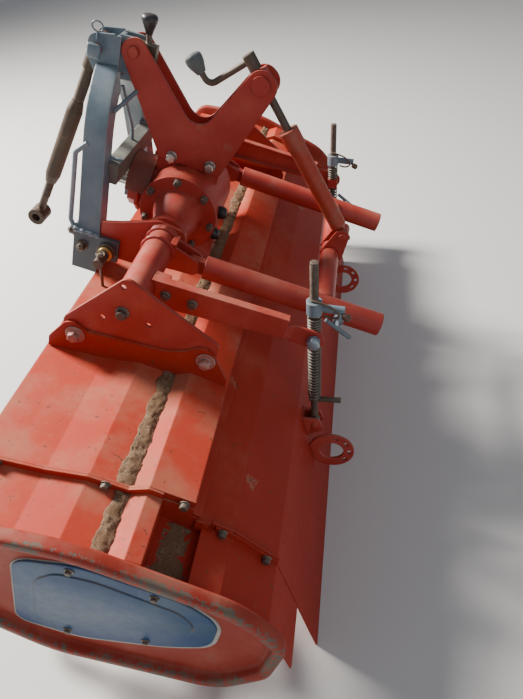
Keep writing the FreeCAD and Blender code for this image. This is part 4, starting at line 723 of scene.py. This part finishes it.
@dataclass
class HangerGear:
    """Coil springs, rod threads, bolts and lever clamps of the two rear cover hangers."""

    bench: Bench
    trunnion: Point = (-0.295633, 0.342, 0.490235)
    block_half: float = 0.013
    coil_radius: float = 0.012
    wire: float = 0.0038
    lower_length: float = 0.155
    lower_turns: int = 19
    upper_length: float = 0.034
    upper_turns: int = 5
    thread_length: float = 0.078
    rod_radius: float = 0.0075

    def build(self) -> None:
        """Makes the hangers' pieces on both sides."""
        self.wind_lower_springs()
        self.wind_upper_springs()
        self.cut_threads()
        self.bend_clamps()
        self.set_bolts()

    def at(self, side: int, rise: float, across: float = 0.0) -> Point:
        """Gives a place on a hanger's plumb line."""
        return self.trunnion[0], self.trunnion[1] * side + across, self.trunnion[2] + rise

    def wind(self, length: float, turns: int, rise: float) -> bpy.types.Object:
        """Winds one spring for each side, its foot at a rise from the trunnion."""
        spring = self.bench.coil(self.coil_radius, self.wire, (length - self.wire) / turns, turns, sides=8, steps=20)
        return self.bench.repeated(spring, [(self.at(side, rise + self.wire / 2), UP, 40 * side) for _, side in SIDES])

    def wind_lower_springs(self) -> None:
        """Winds the long springs between the trunnions and the cross pins."""
        coils = self.wind(self.lower_length, self.lower_turns, -self.block_half - self.lower_length)
        coils = self.bench.hand_over(coils, "lower_coils", Body.TRUNNIONS, SPRING, tilted=False, smooth=60)
        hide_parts("lower_springs")
        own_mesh(coils)

    def wind_upper_springs(self) -> None:
        """Winds the short springs between the trunnions and the lever rings."""
        coils = self.wind(self.upper_length, self.upper_turns, self.block_half)
        coils = self.bench.hand_over(coils, "upper_coils", Body.TRUNNIONS, SPRING, tilted=False, smooth=60)
        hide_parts("upper_springs")

    def cut_threads(self) -> None:
        """Winds the thread on the bare upper ends of the rods."""
        pitch = 0.0026
        thread = self.bench.coil(self.rod_radius - 0.0002, 0.002, pitch, int(self.thread_length / pitch), sides=4,
                                 steps=20)
        threads = self.bench.repeated(thread, [(self.at(side, 0.081), UP, 0) for _, side in SIDES])
        self.bench.hand_over(threads, "rod_threads", Body.RODS, BROWN_STEEL, tilted=False, smooth=20)

    def bend_clamps(self) -> None:
        """Bends the wire clamps that lock the lever rings, each with its knob."""
        pieces = []
        for _, side in SIDES:
            x, y, z = self.at(side, 0.064)
            points = [(x + 0.004, y + 0.018, z + 0.028), (x - 0.014, y + 0.02, z + 0.024),
                      (x - 0.036, y + 0.02, z + 0.012), (x - 0.046, y + 0.018, z - 0.004),
                      (x - 0.036, y + 0.012, z - 0.014), (x - 0.018, y + 0.008, z - 0.012)]
            pieces.append(self.bench.wire(points, 0.0022))
            knob = self.bench.turned(((0, 0.004), (0.003, 0.0065), (0.012, 0.0072), (0.016, 0.005), (0.017, 0.001)), 18)
            pieces.append(self.bench.copy_to(knob, (x - 0.052, y + 0.008, z - 0.010), (-0.9, 0.1, -0.45)))
            bpy.data.objects.remove(knob)
        self.bench.hand_over(self.bench.joined(pieces), "lever_clamps", Body.RODS, DARK_STEEL, tilted=False)

    def set_bolts(self) -> None:
        """Sets the bolt on each trunnion's end and the two in each arm."""
        bolts = self.bench.bolt(0.023, 0.012, 0.0125)
        spots = [((self.trunnion[0], (self.trunnion[1] + 0.0185) * side, self.trunnion[2]), (0, side, 0), 12)
                 for _, side in SIDES]
        self.bench.hand_over(self.bench.repeated(bolts, spots), "trunnion_bolts", Body.TRUNNIONS, BLUE_ZINC,
                             tilted=False)
        bolts = self.bench.bolt(0.014, 0.008, 0.0105)
        spots = [((x, 0.3665 * side, z), (0, side, 0), 20) for x, z in ((-0.052, -0.001), (-0.104, -0.001))
                 for _, side in SIDES]
        self.bench.hand_over(self.bench.repeated(bolts, spots), "arm_bolts", Body.CHASSIS, DARK_STEEL)


@dataclass
class Fasteners:
    """The bolts that hold the castings, plates, covers and panels together."""

    bench: Bench
    flange_bolt_count: int = 7
    flange_circle: float = 0.075
    flange_face: float = 0.086
    mast_face: float = 0.026
    arch_face: float = 0.455
    plate_face: float = 0.449
    panel_face: float = 0.8362
    cover_face: float = 0.719

    def build(self) -> None:
        """Sets all the bolts."""
        self.set_housing_bolts()
        self.set_plate_bolts()
        self.set_cover_bolts()
        self.set_panel_bolts()
        self.set_case_bolts()

    def both(self, rows: Iterable[tuple[float, float]], face: float, spin: float = 0) -> list:
        """Gives spots at the same places on both sides, pointing outwards."""
        return [((x, face * side, z), (0, side, 0), spin + 17 * index)
                for index, (x, z) in enumerate(rows) for _, side in SIDES]

    def set_housing_bolts(self) -> None:
        """Sets a circle of bolts in each side housing's flange."""
        rows = []
        for index in range(self.flange_bolt_count):
            angle = math.radians(-23 + 360 * index / self.flange_bolt_count)
            rows.append((self.flange_circle * math.cos(angle), self.flange_circle * math.sin(angle)))
        bolts = self.bench.repeated(self.bench.bolt(0.0135, 0.009, 0.0085), self.both(rows, self.flange_face))
        self.bench.hand_over(bolts, "housing_bolts", Body.CHASSIS, DARK_STEEL)

    def set_plate_bolts(self) -> None:
        """Sets the bolts in the mast plates' feet and in the bracket plates."""
        bolts = self.bench.repeated(self.bench.bolt(0.019, 0.012, 0.012), self.both(
            ((0.047, 0.097), (-0.038, 0.104)), self.mast_face))
        self.bench.hand_over(bolts, "mast_bolts", Body.CHASSIS, ZINC)
        bolts = self.bench.repeated(self.bench.bolt(0.019, 0.011, 0.018, 0.003), self.both(
            ((0.079, -0.079), (-0.160, -0.046)), self.arch_face))
        self.bench.hand_over(bolts, "bracket_bolts", Body.CHASSIS, PAINTED_STEEL)
        bolts = self.bench.repeated(self.bench.bolt(0.017, 0.01, 0.013, 0.002), self.both(
            ((0.002, 0.0),), self.plate_face))
        self.bench.hand_over(bolts, "plate_bolts", Body.CHASSIS, DARK_STEEL)

    def set_cover_bolts(self) -> None:
        """Sets the bolts through the end flanges of the top cover and the rear cover."""
        bolts = self.bench.repeated(self.bench.bolt(0.012, 0.007, 0.0085, 0.002), self.both(
            ((0.09, -0.117), (-0.076, -0.094), (-0.197, -0.086)), self.cover_face))
        self.bench.hand_over(bolts, "cover_bolts", Body.CHASSIS, BROWN_STEEL)
        bolts = self.bench.repeated(self.bench.bolt(0.012, 0.007, 0.008, 0.002), self.both(
            ((-0.268, -0.133), (-0.352, -0.171)), self.cover_face))
        self.bench.hand_over(bolts, "flap_bolts", Body.REAR_COVER, BROWN_STEEL)

    def set_panel_bolts(self) -> None:
        """Sets the bolts in the side panels' borders."""
        bolts = self.bench.repeated(self.bench.bolt(0.009, 0.004, 0.0075, 0.0015), self.both(
            ((-0.070, -0.142), (-0.195, -0.152), (-0.079, -0.358), (-0.206, -0.318)), self.panel_face))
        self.bench.hand_over(bolts, "panel_bolts", Body.CHASSIS, DARK_STEEL)

    def set_case_bolts(self) -> None:
        """Sets the bolts round the drive case's bearing."""
        rows = []
        for index in range(6):
            angle = math.tau * index / 6
            rows.append((-0.060 + 0.045 * math.cos(angle), -0.370 + 0.045 * math.sin(angle)))
        bolts = self.bench.repeated(self.bench.bolt(0.013, 0.008, 0.008), self.both(rows, 0.050))
        self.bench.hand_over(bolts, "bearing_bolts", Body.CHASSIS, DARK_STEEL)


@dataclass
class GearboxTrim:
    """Filler plug, drain plug and splined shaft of the gearbox."""

    bench: Bench
    spline_count: int = 6
    shaft_radius: float = 0.0174
    shaft_start: float = 0.126
    shaft_length: float = 0.092

    def build(self) -> None:
        """Makes the gearbox's small pieces."""
        self.set_plugs()
        self.cut_splines()

    def set_plugs(self) -> None:
        """Sets the black filler plug on the gearbox's back."""
        plug = self.bench.drum(0.014, 0.012, (0, 0, 0.006), 24)
        self.bench.pick(plug, lambda middle, normal: normal.z > 0.9)
        bpy.ops.mesh.inset(thickness=0.005)
        bpy.ops.transform.translate(value=(0, 0, 0.007))
        self.bench.close()
        self.bench.rounded(plug, 0.0012)
        spots = [((-0.083, 0.048, 0.016), (-1, 0, 0.2), 0), ((-0.078, 0.05, -0.036), (-1, 0, -0.45), 0)]
        self.bench.hand_over(self.bench.repeated(plug, spots), "oil_plugs", Body.CHASSIS, BLACK)

    def cut_splines(self) -> None:
        """Models the splined shaft: a bar whose splines stand between grooves."""
        shaft = self.bench.drum(self.shaft_radius, self.shaft_length, (0, 0, self.shaft_length / 2),
                                self.spline_count * 4)
        step = math.tau / self.spline_count

        def in_groove(middle: Vector, normal: Vector) -> bool:
            """Picks the faces that lie between two splines."""
            share = (math.atan2(middle.y, middle.x) % step) / step
            return abs(normal.z) < 0.1 and share > 0.5

        self.bench.pick(shaft, in_groove)
        bpy.ops.mesh.extrude_region_shrink_fatten(TRANSFORM_OT_shrink_fatten={"value": -0.0028})
        self.bench.close()
        self.bench.rounded(shaft, 0.0006, 1, 50)
        shaft = self.bench.repeated(shaft, [((self.shaft_start, 0, 0), (1, 0, 0), 0)])
        shaft = self.bench.hand_over(shaft, "splined_shaft", Body.INPUT, ZINC)
        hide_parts("input_shaft")


@dataclass
class HitchGear:
    """Linchpins, rings, weld beads and links of the hitch."""

    bench: Bench
    pin_x: float = 0.111
    pin_z: float = -0.066
    pin_end: float = 0.262
    top_pin: Point = (0.227, 0.0, 0.261)

    def build(self) -> None:
        """Makes the hitch's small pieces."""
        self.hang_linchpins()
        self.set_top_pin()
        self.bend_ties()
        self.turn_knobs()
        self.set_foot_bolts()
        self.weld()

    def hang_linchpins(self) -> None:
        """Hangs a linchpin on each lower pin: its ring and its shank."""
        pieces = []
        for _, side in SIDES:
            y = (self.pin_end - 0.012) * side
            x, z = self.pin_x, self.pin_z
            shank = self.bench.turned(((0, 0.0018), (0.006, 0.0032), (0.07, 0.0034), (0.078, 0.0036), (0.081, 0.006),
                                       (0.086, 0.006), (0.089, 0.003)), 16)
            pieces.append(self.bench.copy_to(shank, (x - 0.014, y, z - 0.070), (0.17, 0, 1)))
            bpy.data.objects.remove(shank)
            ring = [(x + 0.008 * math.cos(math.tau * k / 10), y + 0.009 * math.sin(math.tau * k / 10), z + 0.019)
                    for k in range(10)]
            pieces.append(self.bench.wire(ring, 0.0014, closed=True))
        self.bench.hand_over(self.bench.joined(pieces), "linchpins", Body.CHASSIS, DARK_STEEL)
        collar = self.bench.rounded(self.bench.drum(0.016, 0.009, (0, 0, 0.0045), 28), 0.0016)
        spots = [((self.pin_x, 0.215 * side, self.pin_z), (0, side, 0), 0) for _, side in SIDES]
        self.bench.hand_over(self.bench.repeated(collar, spots), "pin_collars", Body.CHASSIS, BRASS)

    def set_top_pin(self) -> None:
        """Sets the top pin's squarish head and the ring that stands over it."""
        x, _, z = self.top_pin
        head = self.bench.brick((0.026, 0.012, 0.026), (x, 0.0475, z))
        self.bench.rounded(head, 0.004, 3)
        ring = [(x + 0.002 + 0.011 * math.cos(math.tau * k / 12), 0.030, z + 0.040 + 0.009 * math.sin(math.tau * k / 12))
                for k in range(12)]
        stem = self.bench.wire([(x, 0.0335, z + 0.018), (x + 0.001, 0.031, z + 0.032)], 0.0022, smooth=False)
        pieces = [head, self.bench.wire(ring, 0.0018, closed=True), stem]
        self.bench.hand_over(self.bench.joined(pieces), "top_pin_head", Body.CHASSIS, GREY_BLUE)

    def bend_ties(self) -> None:
        """Runs the thin tie from each leg up to the head's tongue, and the clip below it."""
        bars = []
        for _, side in SIDES:
            bars.append(self.bench.wire([(0.164, 0.088 * side, 0.176), (0.150, 0.05 * side, 0.194),
                                         (0.141, 0.024 * side, 0.205)], 0.0045))
        bars.append(self.bench.wire([(0.172, 0.020, 0.205), (0.160, 0.010, 0.160), (0.148, 0.0, 0.118),
                                     (0.146, -0.008, 0.088)], 0.004))
        self.bench.hand_over(self.bench.joined(bars), "hitch_ties", Body.CHASSIS, GREY_BLUE)

    def set_foot_bolts(self) -> None:
        """Sets a nut in front of each foot's sleeve and a bolt in its outer face."""
        spots = []
        for _, side in SIDES:
            spots += [((0.186, 0.186 * side, -0.056), (1, 0, 0), 10), ((0.166, 0.200 * side, -0.076), (0, side, 0), 25)]
        bolts = self.bench.repeated(self.bench.bolt(0.016, 0.011, 0.0125, 0.0025, 0.003), spots)
        self.bench.hand_over(bolts, "foot_bolts", Body.CHASSIS, BROWN_STEEL)

    def turn_knobs(self) -> None:
        """Turns the release lever's pear-shaped knob and the crank's cup."""
        knob = self.bench.turned(((0, 0.007), (0.006, 0.0085), (0.014, 0.012), (0.022, 0.0152), (0.027, 0.0162),
                                  (0.031, 0.0155), (0.034, 0.0125), (0.0355, 0.007), (0.036, 0.0015)))
        knob = self.bench.repeated(knob, [((0.138, 0, 0.310), (3, 0, 31), 0)])
        knob = self.bench.hand_over(knob, "release_knob", Body.CHASSIS, BLACK, smooth=50)
        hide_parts("lock_knob")
        cup = self.bench.turned(((0, 0.0098), (0.008, 0.0128), (0.018, 0.0168), (0.027, 0.0184), (0.033, 0.018),
                                 (0.037, 0.0148), (0.0395, 0.009), (0.040, 0.002)))
        cup = self.bench.repeated(cup, [((0.0237, 0, 0.2744), (0.727, 0, 0.6866), 0)])
        self.bench.hand_over(cup, "crank_cup", Body.STRUT_SCREW, FADED_PLASTIC, smooth=50)

    def weld(self) -> None:
        """Lays the weld beads where the beam and the braces meet the legs."""
        beads = []
        for _, side in SIDES:
            beads.append(self.bench.bead((0.1305, 0.104 * side, 0.089), (0.160, 0.104 * side, 0.089)))
            beads.append(self.bench.bead((0.131, 0.201 * side, -0.041), (0.186, 0.201 * side, -0.041), 0.005))
            beads.append(self.bench.bead((0.186, 0.151 * side, -0.041), (0.186, 0.200 * side, -0.041), 0.005))
        self.bench.hand_over(self.bench.joined(beads), "hitch_welds", Body.CHASSIS, GREY_BLUE)


@dataclass
class AxleWelds:
    """Weld beads round the axle tubes where the plates and brackets stand on them."""

    bench: Bench
    tube: float = 0.0315
    stations: tuple[float, ...] = (0.1985, 0.2415, 0.2065, 0.442)

    def build(self) -> None:
        """Lays the ring beads on both tubes."""
        rings = [self.bench.ring_bead((0, y * side, 0), self.tube, 0.0042) for y in self.stations for _, side in SIDES]
        self.bench.hand_over(self.bench.joined(rings), "axle_welds", Body.CHASSIS, RED)


@dataclass
class FieldSoil:
    """Dried soil that lies along the top cover's groove."""

    bench: Bench
    cover_half: float = 0.711
    plate_inner: float = 0.824
    flange_face: float = 0.720

    def build(self) -> None:
        """Lays the strip on the main cover and the short ones on the cover ends."""
        end_length = self.plate_inner - self.flange_face
        end_middle = (self.plate_inner + self.flange_face) / 2
        strips = [self.lay(self.cover_half * 2, 0.0)]
        strips += [self.lay(end_length, end_middle * side) for _, side in SIDES]
        strips += [self.lay(0.088, 0.766 * side, 0.052, (-0.199, -0.1465), 13.0) for _, side in SIDES]
        self.bench.hand_over(self.bench.joined(strips), "groove_soil", Body.CHASSIS, SOIL, smooth=50)

    def lay(self, length: float, middle: float, width: float = 0.028,
            spot: tuple[float, float] = (-0.103, -0.1025), slope: float = 3.6) -> bpy.types.Object:
        """Lays one lumpy strip, crowned in the middle and thin at its edges.

        Args:
            length: Length of the strip.
            middle: Where its middle is, across the tiller.
            width: Width of the strip.
            spot: How far forward and up it lies.
            slope: How steeply it falls to the rear, in degrees.

        Returns:
            The strip.
        """
        self.bench.clear()
        bpy.ops.mesh.primitive_grid_add(x_subdivisions=12, y_subdivisions=int(length / 0.003), size=1,
                                        location=(0, 0, 0))
        strip = bpy.context.object
        strip.scale = (width, length, 1)
        self.bench.settle(strip)
        for share, lift in ((0.42, 0.0016), (0.28, 0.0011), (0.12, 0.0005)):
            self.bench.pick(strip, lambda middle, normal, edge=share: abs(middle.x) < width * edge)
            bpy.ops.transform.translate(value=(0, 0, lift))
            self.bench.close()
        for scale, way, strength in ((0.028, "X", 0.014), (0.018, "Z", 0.005), (0.005, "Z", 0.0042)):
            clods = bpy.data.textures.new("clods", "CLOUDS")
            clods.noise_scale = scale
            clods.noise_depth = 2
            self.bench.modify(strip, "DISPLACE", texture=clods, texture_coords="LOCAL", direction=way,
                              strength=strength, mid_level=0.5)
        self.bench.modify(strip, "SOLIDIFY", thickness=0.005, offset=-1)
        strip.location = (spot[0], middle, spot[1])
        strip.rotation_euler = (0, math.radians(-slope), 0)
        return self.bench.settle(strip)


@dataclass
class SidePlateRims:
    """The side plates with the soft edge of their rolled rims."""

    bench: Bench
    roll: float = 0.0062

    def build(self) -> None:
        """Rounds a copy of each side plate, which then stands for the CAD node."""
        for name, _ in SIDES:
            plate = self.bench.node_copy("side_plate_" + name)
            self.bench.rounded(plate, self.roll, 3, 50)
            plate = self.bench.hand_over(plate, "rimmed_plate_" + name, Body.CHASSIS, RED_RIM, tilted=False)
            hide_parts("side_plate_" + name)


@dataclass
class SidePanels:
    """The blue side panels with their round noses and raised fields, and the walls of the covers' recesses."""

    bench: Bench
    border: tuple[tuple[float, float], ...] = ((0.014, -0.158), (-0.080, -0.124), (-0.240, -0.146), (-0.300, -0.188),
                                               (-0.306, -0.274), (-0.240, -0.322), (-0.100, -0.377), (0.008, -0.368))
    raised: tuple[tuple[float, float], ...] = ((-0.020, -0.200), (-0.050, -0.160), (-0.110, -0.154), (-0.238, -0.180),
                                               (-0.268, -0.212), (-0.258, -0.252), (-0.080, -0.334), (-0.025, -0.330))
    middle: tuple[float, float] = (-0.150, -0.250)
    recess: tuple[tuple[float, float], ...] = ((-0.162, -0.090), (-0.2135, -0.095), (-0.2135, -0.114),
                                               (-0.2255, -0.117), (-0.2255, -0.1405), (-0.235, -0.142),
                                               (-0.236, -0.154), (-0.166, -0.140))
    gusset: tuple[tuple[float, float], ...] = ((-0.221, -0.117), (-0.236, -0.119), (-0.250, -0.137), (-0.236, -0.145),
                                               (-0.221, -0.144))

    def build(self) -> None:
        """Makes the panels, their pale edging, the recess walls and the gussets beside them on the rear cover."""
        plate = self.bench.rounded(self.bench.sheet(self.border, 0.026, 0.007), 0.002, 3, 60)
        sheets = [self.bench.repeated(plate, self.spots(0.8327))]
        plate = self.bench.rounded(self.bench.sheet(self.raised, 0.015, 0.003), 0.0012, 2, 60)
        sheets.append(self.bench.repeated(plate, self.spots(0.8367)))
        panels = self.bench.hand_over(self.bench.joined(sheets), "round_panels", Body.CHASSIS, BLUE)
        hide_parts("side_panels")
        across, up = self.middle
        wider = [(across - 0.002 + (x - across) * 1.035, up - 0.006 + (z - up) * 1.055) for x, z in self.border]
        plate = self.bench.rounded(self.bench.sheet(wider, 0.028, 0.004), 0.0016, 3, 60)
        self.bench.hand_over(self.bench.repeated(plate, self.spots(0.8312)), "panel_edging", Body.CHASSIS, PALE_EDGE)
        plate = self.bench.sheet(self.recess, 0.001, 0.0025)
        self.bench.hand_over(self.bench.repeated(plate, self.spots(0.7172)), "recess_walls", Body.CHASSIS, RED_COVER)
        plate = self.bench.sheet(self.gusset, 0.001, 0.002)
        self.bench.hand_over(self.bench.repeated(plate, self.spots(0.7212)), "flap_gussets", Body.REAR_COVER, RED_COVER)

    def spots(self, across: float) -> list:
        """Gives the same place on both sides."""
        return [((0, across * side, 0), UP, 0) for _, side in SIDES]


@dataclass
class FramePins:
    """Clamp handles on the rear frame and the quadrants' slots."""

    bench: Bench
    ring_middle: tuple[float, float] = (-0.484, -0.276)
    slot_circle: float = 0.0395

    def build(self) -> None:
        """Makes the rear frame's small pieces."""
        self.slot_quadrants()
        self.set_clamps()

    def slot_quadrants(self) -> None:
        """Cuts four slots in a copy of each quadrant, which then stands for the CAD node."""
        lugs = self.bench.node_copy("cover_lugs")
        cutter = self.bench.rounded(self.bench.brick((0.0075, 0.013, 0.03), (0, 0, 0)), 0.003, 3)
        spots = []
        for middle_y in (0.369, -0.315):
            for turn in (-66, -26, 14, 54):
                angle = math.radians(147.7 + turn)
                spots.append(((self.ring_middle[0] + self.slot_circle * math.cos(angle), middle_y,
                               self.ring_middle[1] + self.slot_circle * math.sin(angle)), (0, 1, 0),
                              -math.degrees(angle)))
        cutters = self.bench.repeated(cutter, spots)
        cutters.matrix_world = self.bench.stand.matrix()
        self.bench.settle(cutters)
        self.bench.modify(lugs, "BOOLEAN", operation="DIFFERENCE", object=cutters, solver="EXACT")
        bpy.data.objects.remove(cutters)
        lugs = self.bench.hand_over(lugs, "slotted_lugs", Body.REAR_COVER, RED, tilted=False)
        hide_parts("cover_lugs")

    def set_clamps(self) -> None:
        """Sets a T-handle clamp on each rear tube."""
        pieces = []
        for _, side in SIDES:
            boss = self.bench.rounded(self.bench.drum(0.011, 0.016, sides=24), 0.002)
            pieces.append(self.bench.copy_to(boss, (-0.392, 0.254 * side, -0.014), (0, side, 0)))
            bpy.data.objects.remove(boss)
            pieces.append(self.bench.wire([(-0.392, 0.258 * side, -0.014), (-0.392, 0.285 * side, -0.014)], 0.005,
                                          smooth=False))
            pieces.append(self.bench.wire([(-0.362, 0.284 * side, -0.002), (-0.424, 0.284 * side, -0.026)], 0.0045,
                                          smooth=False))
        self.bench.hand_over(self.bench.joined(pieces), "tube_clamps", Body.REAR_FRAME, GREY_BLUE)


@dataclass
class TopLinkThreads:
    """The threads that show between the top link's barrel and its eyes."""

    bench: Bench
    pin: Point = (0.227, 0.0, 0.261)
    lean: float = 15.4
    offset: float = 0.0095
    length: float = 0.452

    def build(self) -> None:
        """Winds a thread on each screw."""
        lean = math.radians(self.lean)
        way = Vector((math.sin(lean), 0, -math.cos(lean)))
        head = Vector(self.pin) + Vector((-way.z, 0, way.x)) * self.offset
        foot = Vector(self.pin) + way * self.length
        down = (foot - head).normalized()
        upper = self.bench.coil(0.0108, 0.0026, 0.0042, 17, sides=4)
        lower = self.bench.coil(0.0088, 0.0026, 0.0042, 10, sides=4)
        threads = [self.bench.copy_to(upper, head + down * 0.060, down),
                   self.bench.copy_to(lower, head + down * 0.352, down)]
        for pattern in (upper, lower):
            bpy.data.objects.remove(pattern)
        self.bench.hand_over(self.bench.joined(threads), "top_link_threads", Body.TOP_LINK, BROWN_STEEL, smooth=20)


NODE_FINISHES: dict[str, Finish] = {
    "gearbox_case": RED, "drive_case": RED, "side_housing": RED, "axle_tube": RED, "bracket_plate": RED,
    "hitch_plate": RED, "top_cover": RED_COVER, "cover_end": RED_COVER, "rear_cover": RED_COVER,
    "side_plate": RED_RIM, "side_panels": BLUE, "hinge_pins": BROWN_STEEL, "mast_plate": RED,
    "mast_head": GREY_BLUE, "mast_leg": GREY_BLUE, "cross_beam": DUSTY_GREY, "hitch_feet": DARK_FOOT,
    "lower_pins": BROWN_STEEL, "latch_rods": GREY_BLUE, "lock_lever": BROWN_STEEL, "lock_knob": BLACK,
    "mast_pins": RED, "input_shaft": ZINC, "input_guard": SHADE_DARK_RED, "tine_rotor": TINE,
    "hanger_arm": RED, "hanger_trunnions": RED, "hanger_rods": BROWN_STEEL, "hanger_levers": GREY_BLUE,
    "lower_springs": SPRING, "upper_springs": SPRING, "cover_lugs": RED, "pivot_brackets": RED,
    "rear_tube": RED, "rear_cross_tube": RED, "strut_bracket": RED, "strut_trunnion": RED,
    "strut_crank": BROWN_STEEL, "strut_tube": STRUT_RED, "top_link_ends": LINK_STEEL,
    "top_link_barrel": LINK_STEEL,
}


def dress_nodes(desk: MaterialDesk) -> None:
    """Gives each CAD node the material of its finish.

    Args:
        desk: The desk that builds the materials.
    """
    for name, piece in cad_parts.items():
        stem = name
        for side in ("_left", "_right"):
            stem = stem.removesuffix(side)
        finish = NODE_FINISHES.get(stem, NODE_FINISHES.get(stem.removesuffix("_end"), RED))
        piece.data.materials.clear()
        piece.data.materials.append(desk.of(finish))
        log.info("%s wears %s", name, finish.name)


def main() -> None:
    """Builds the studio, dresses the tiller and adds its small pieces."""
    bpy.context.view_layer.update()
    Studio().build()
    desk = MaterialDesk()
    dress_nodes(desk)
    bench = Bench(desk)
    for assembly in (HangerGear(bench), Fasteners(bench), GearboxTrim(bench), HitchGear(bench), AxleWelds(bench),
                     FieldSoil(bench), SidePlateRims(bench), SidePanels(bench), FramePins(bench), TopLinkThreads(bench)):
        log.info("building %s", type(assembly).__name__)
        assembly.build()


if __name__ == "__main__":
    main()
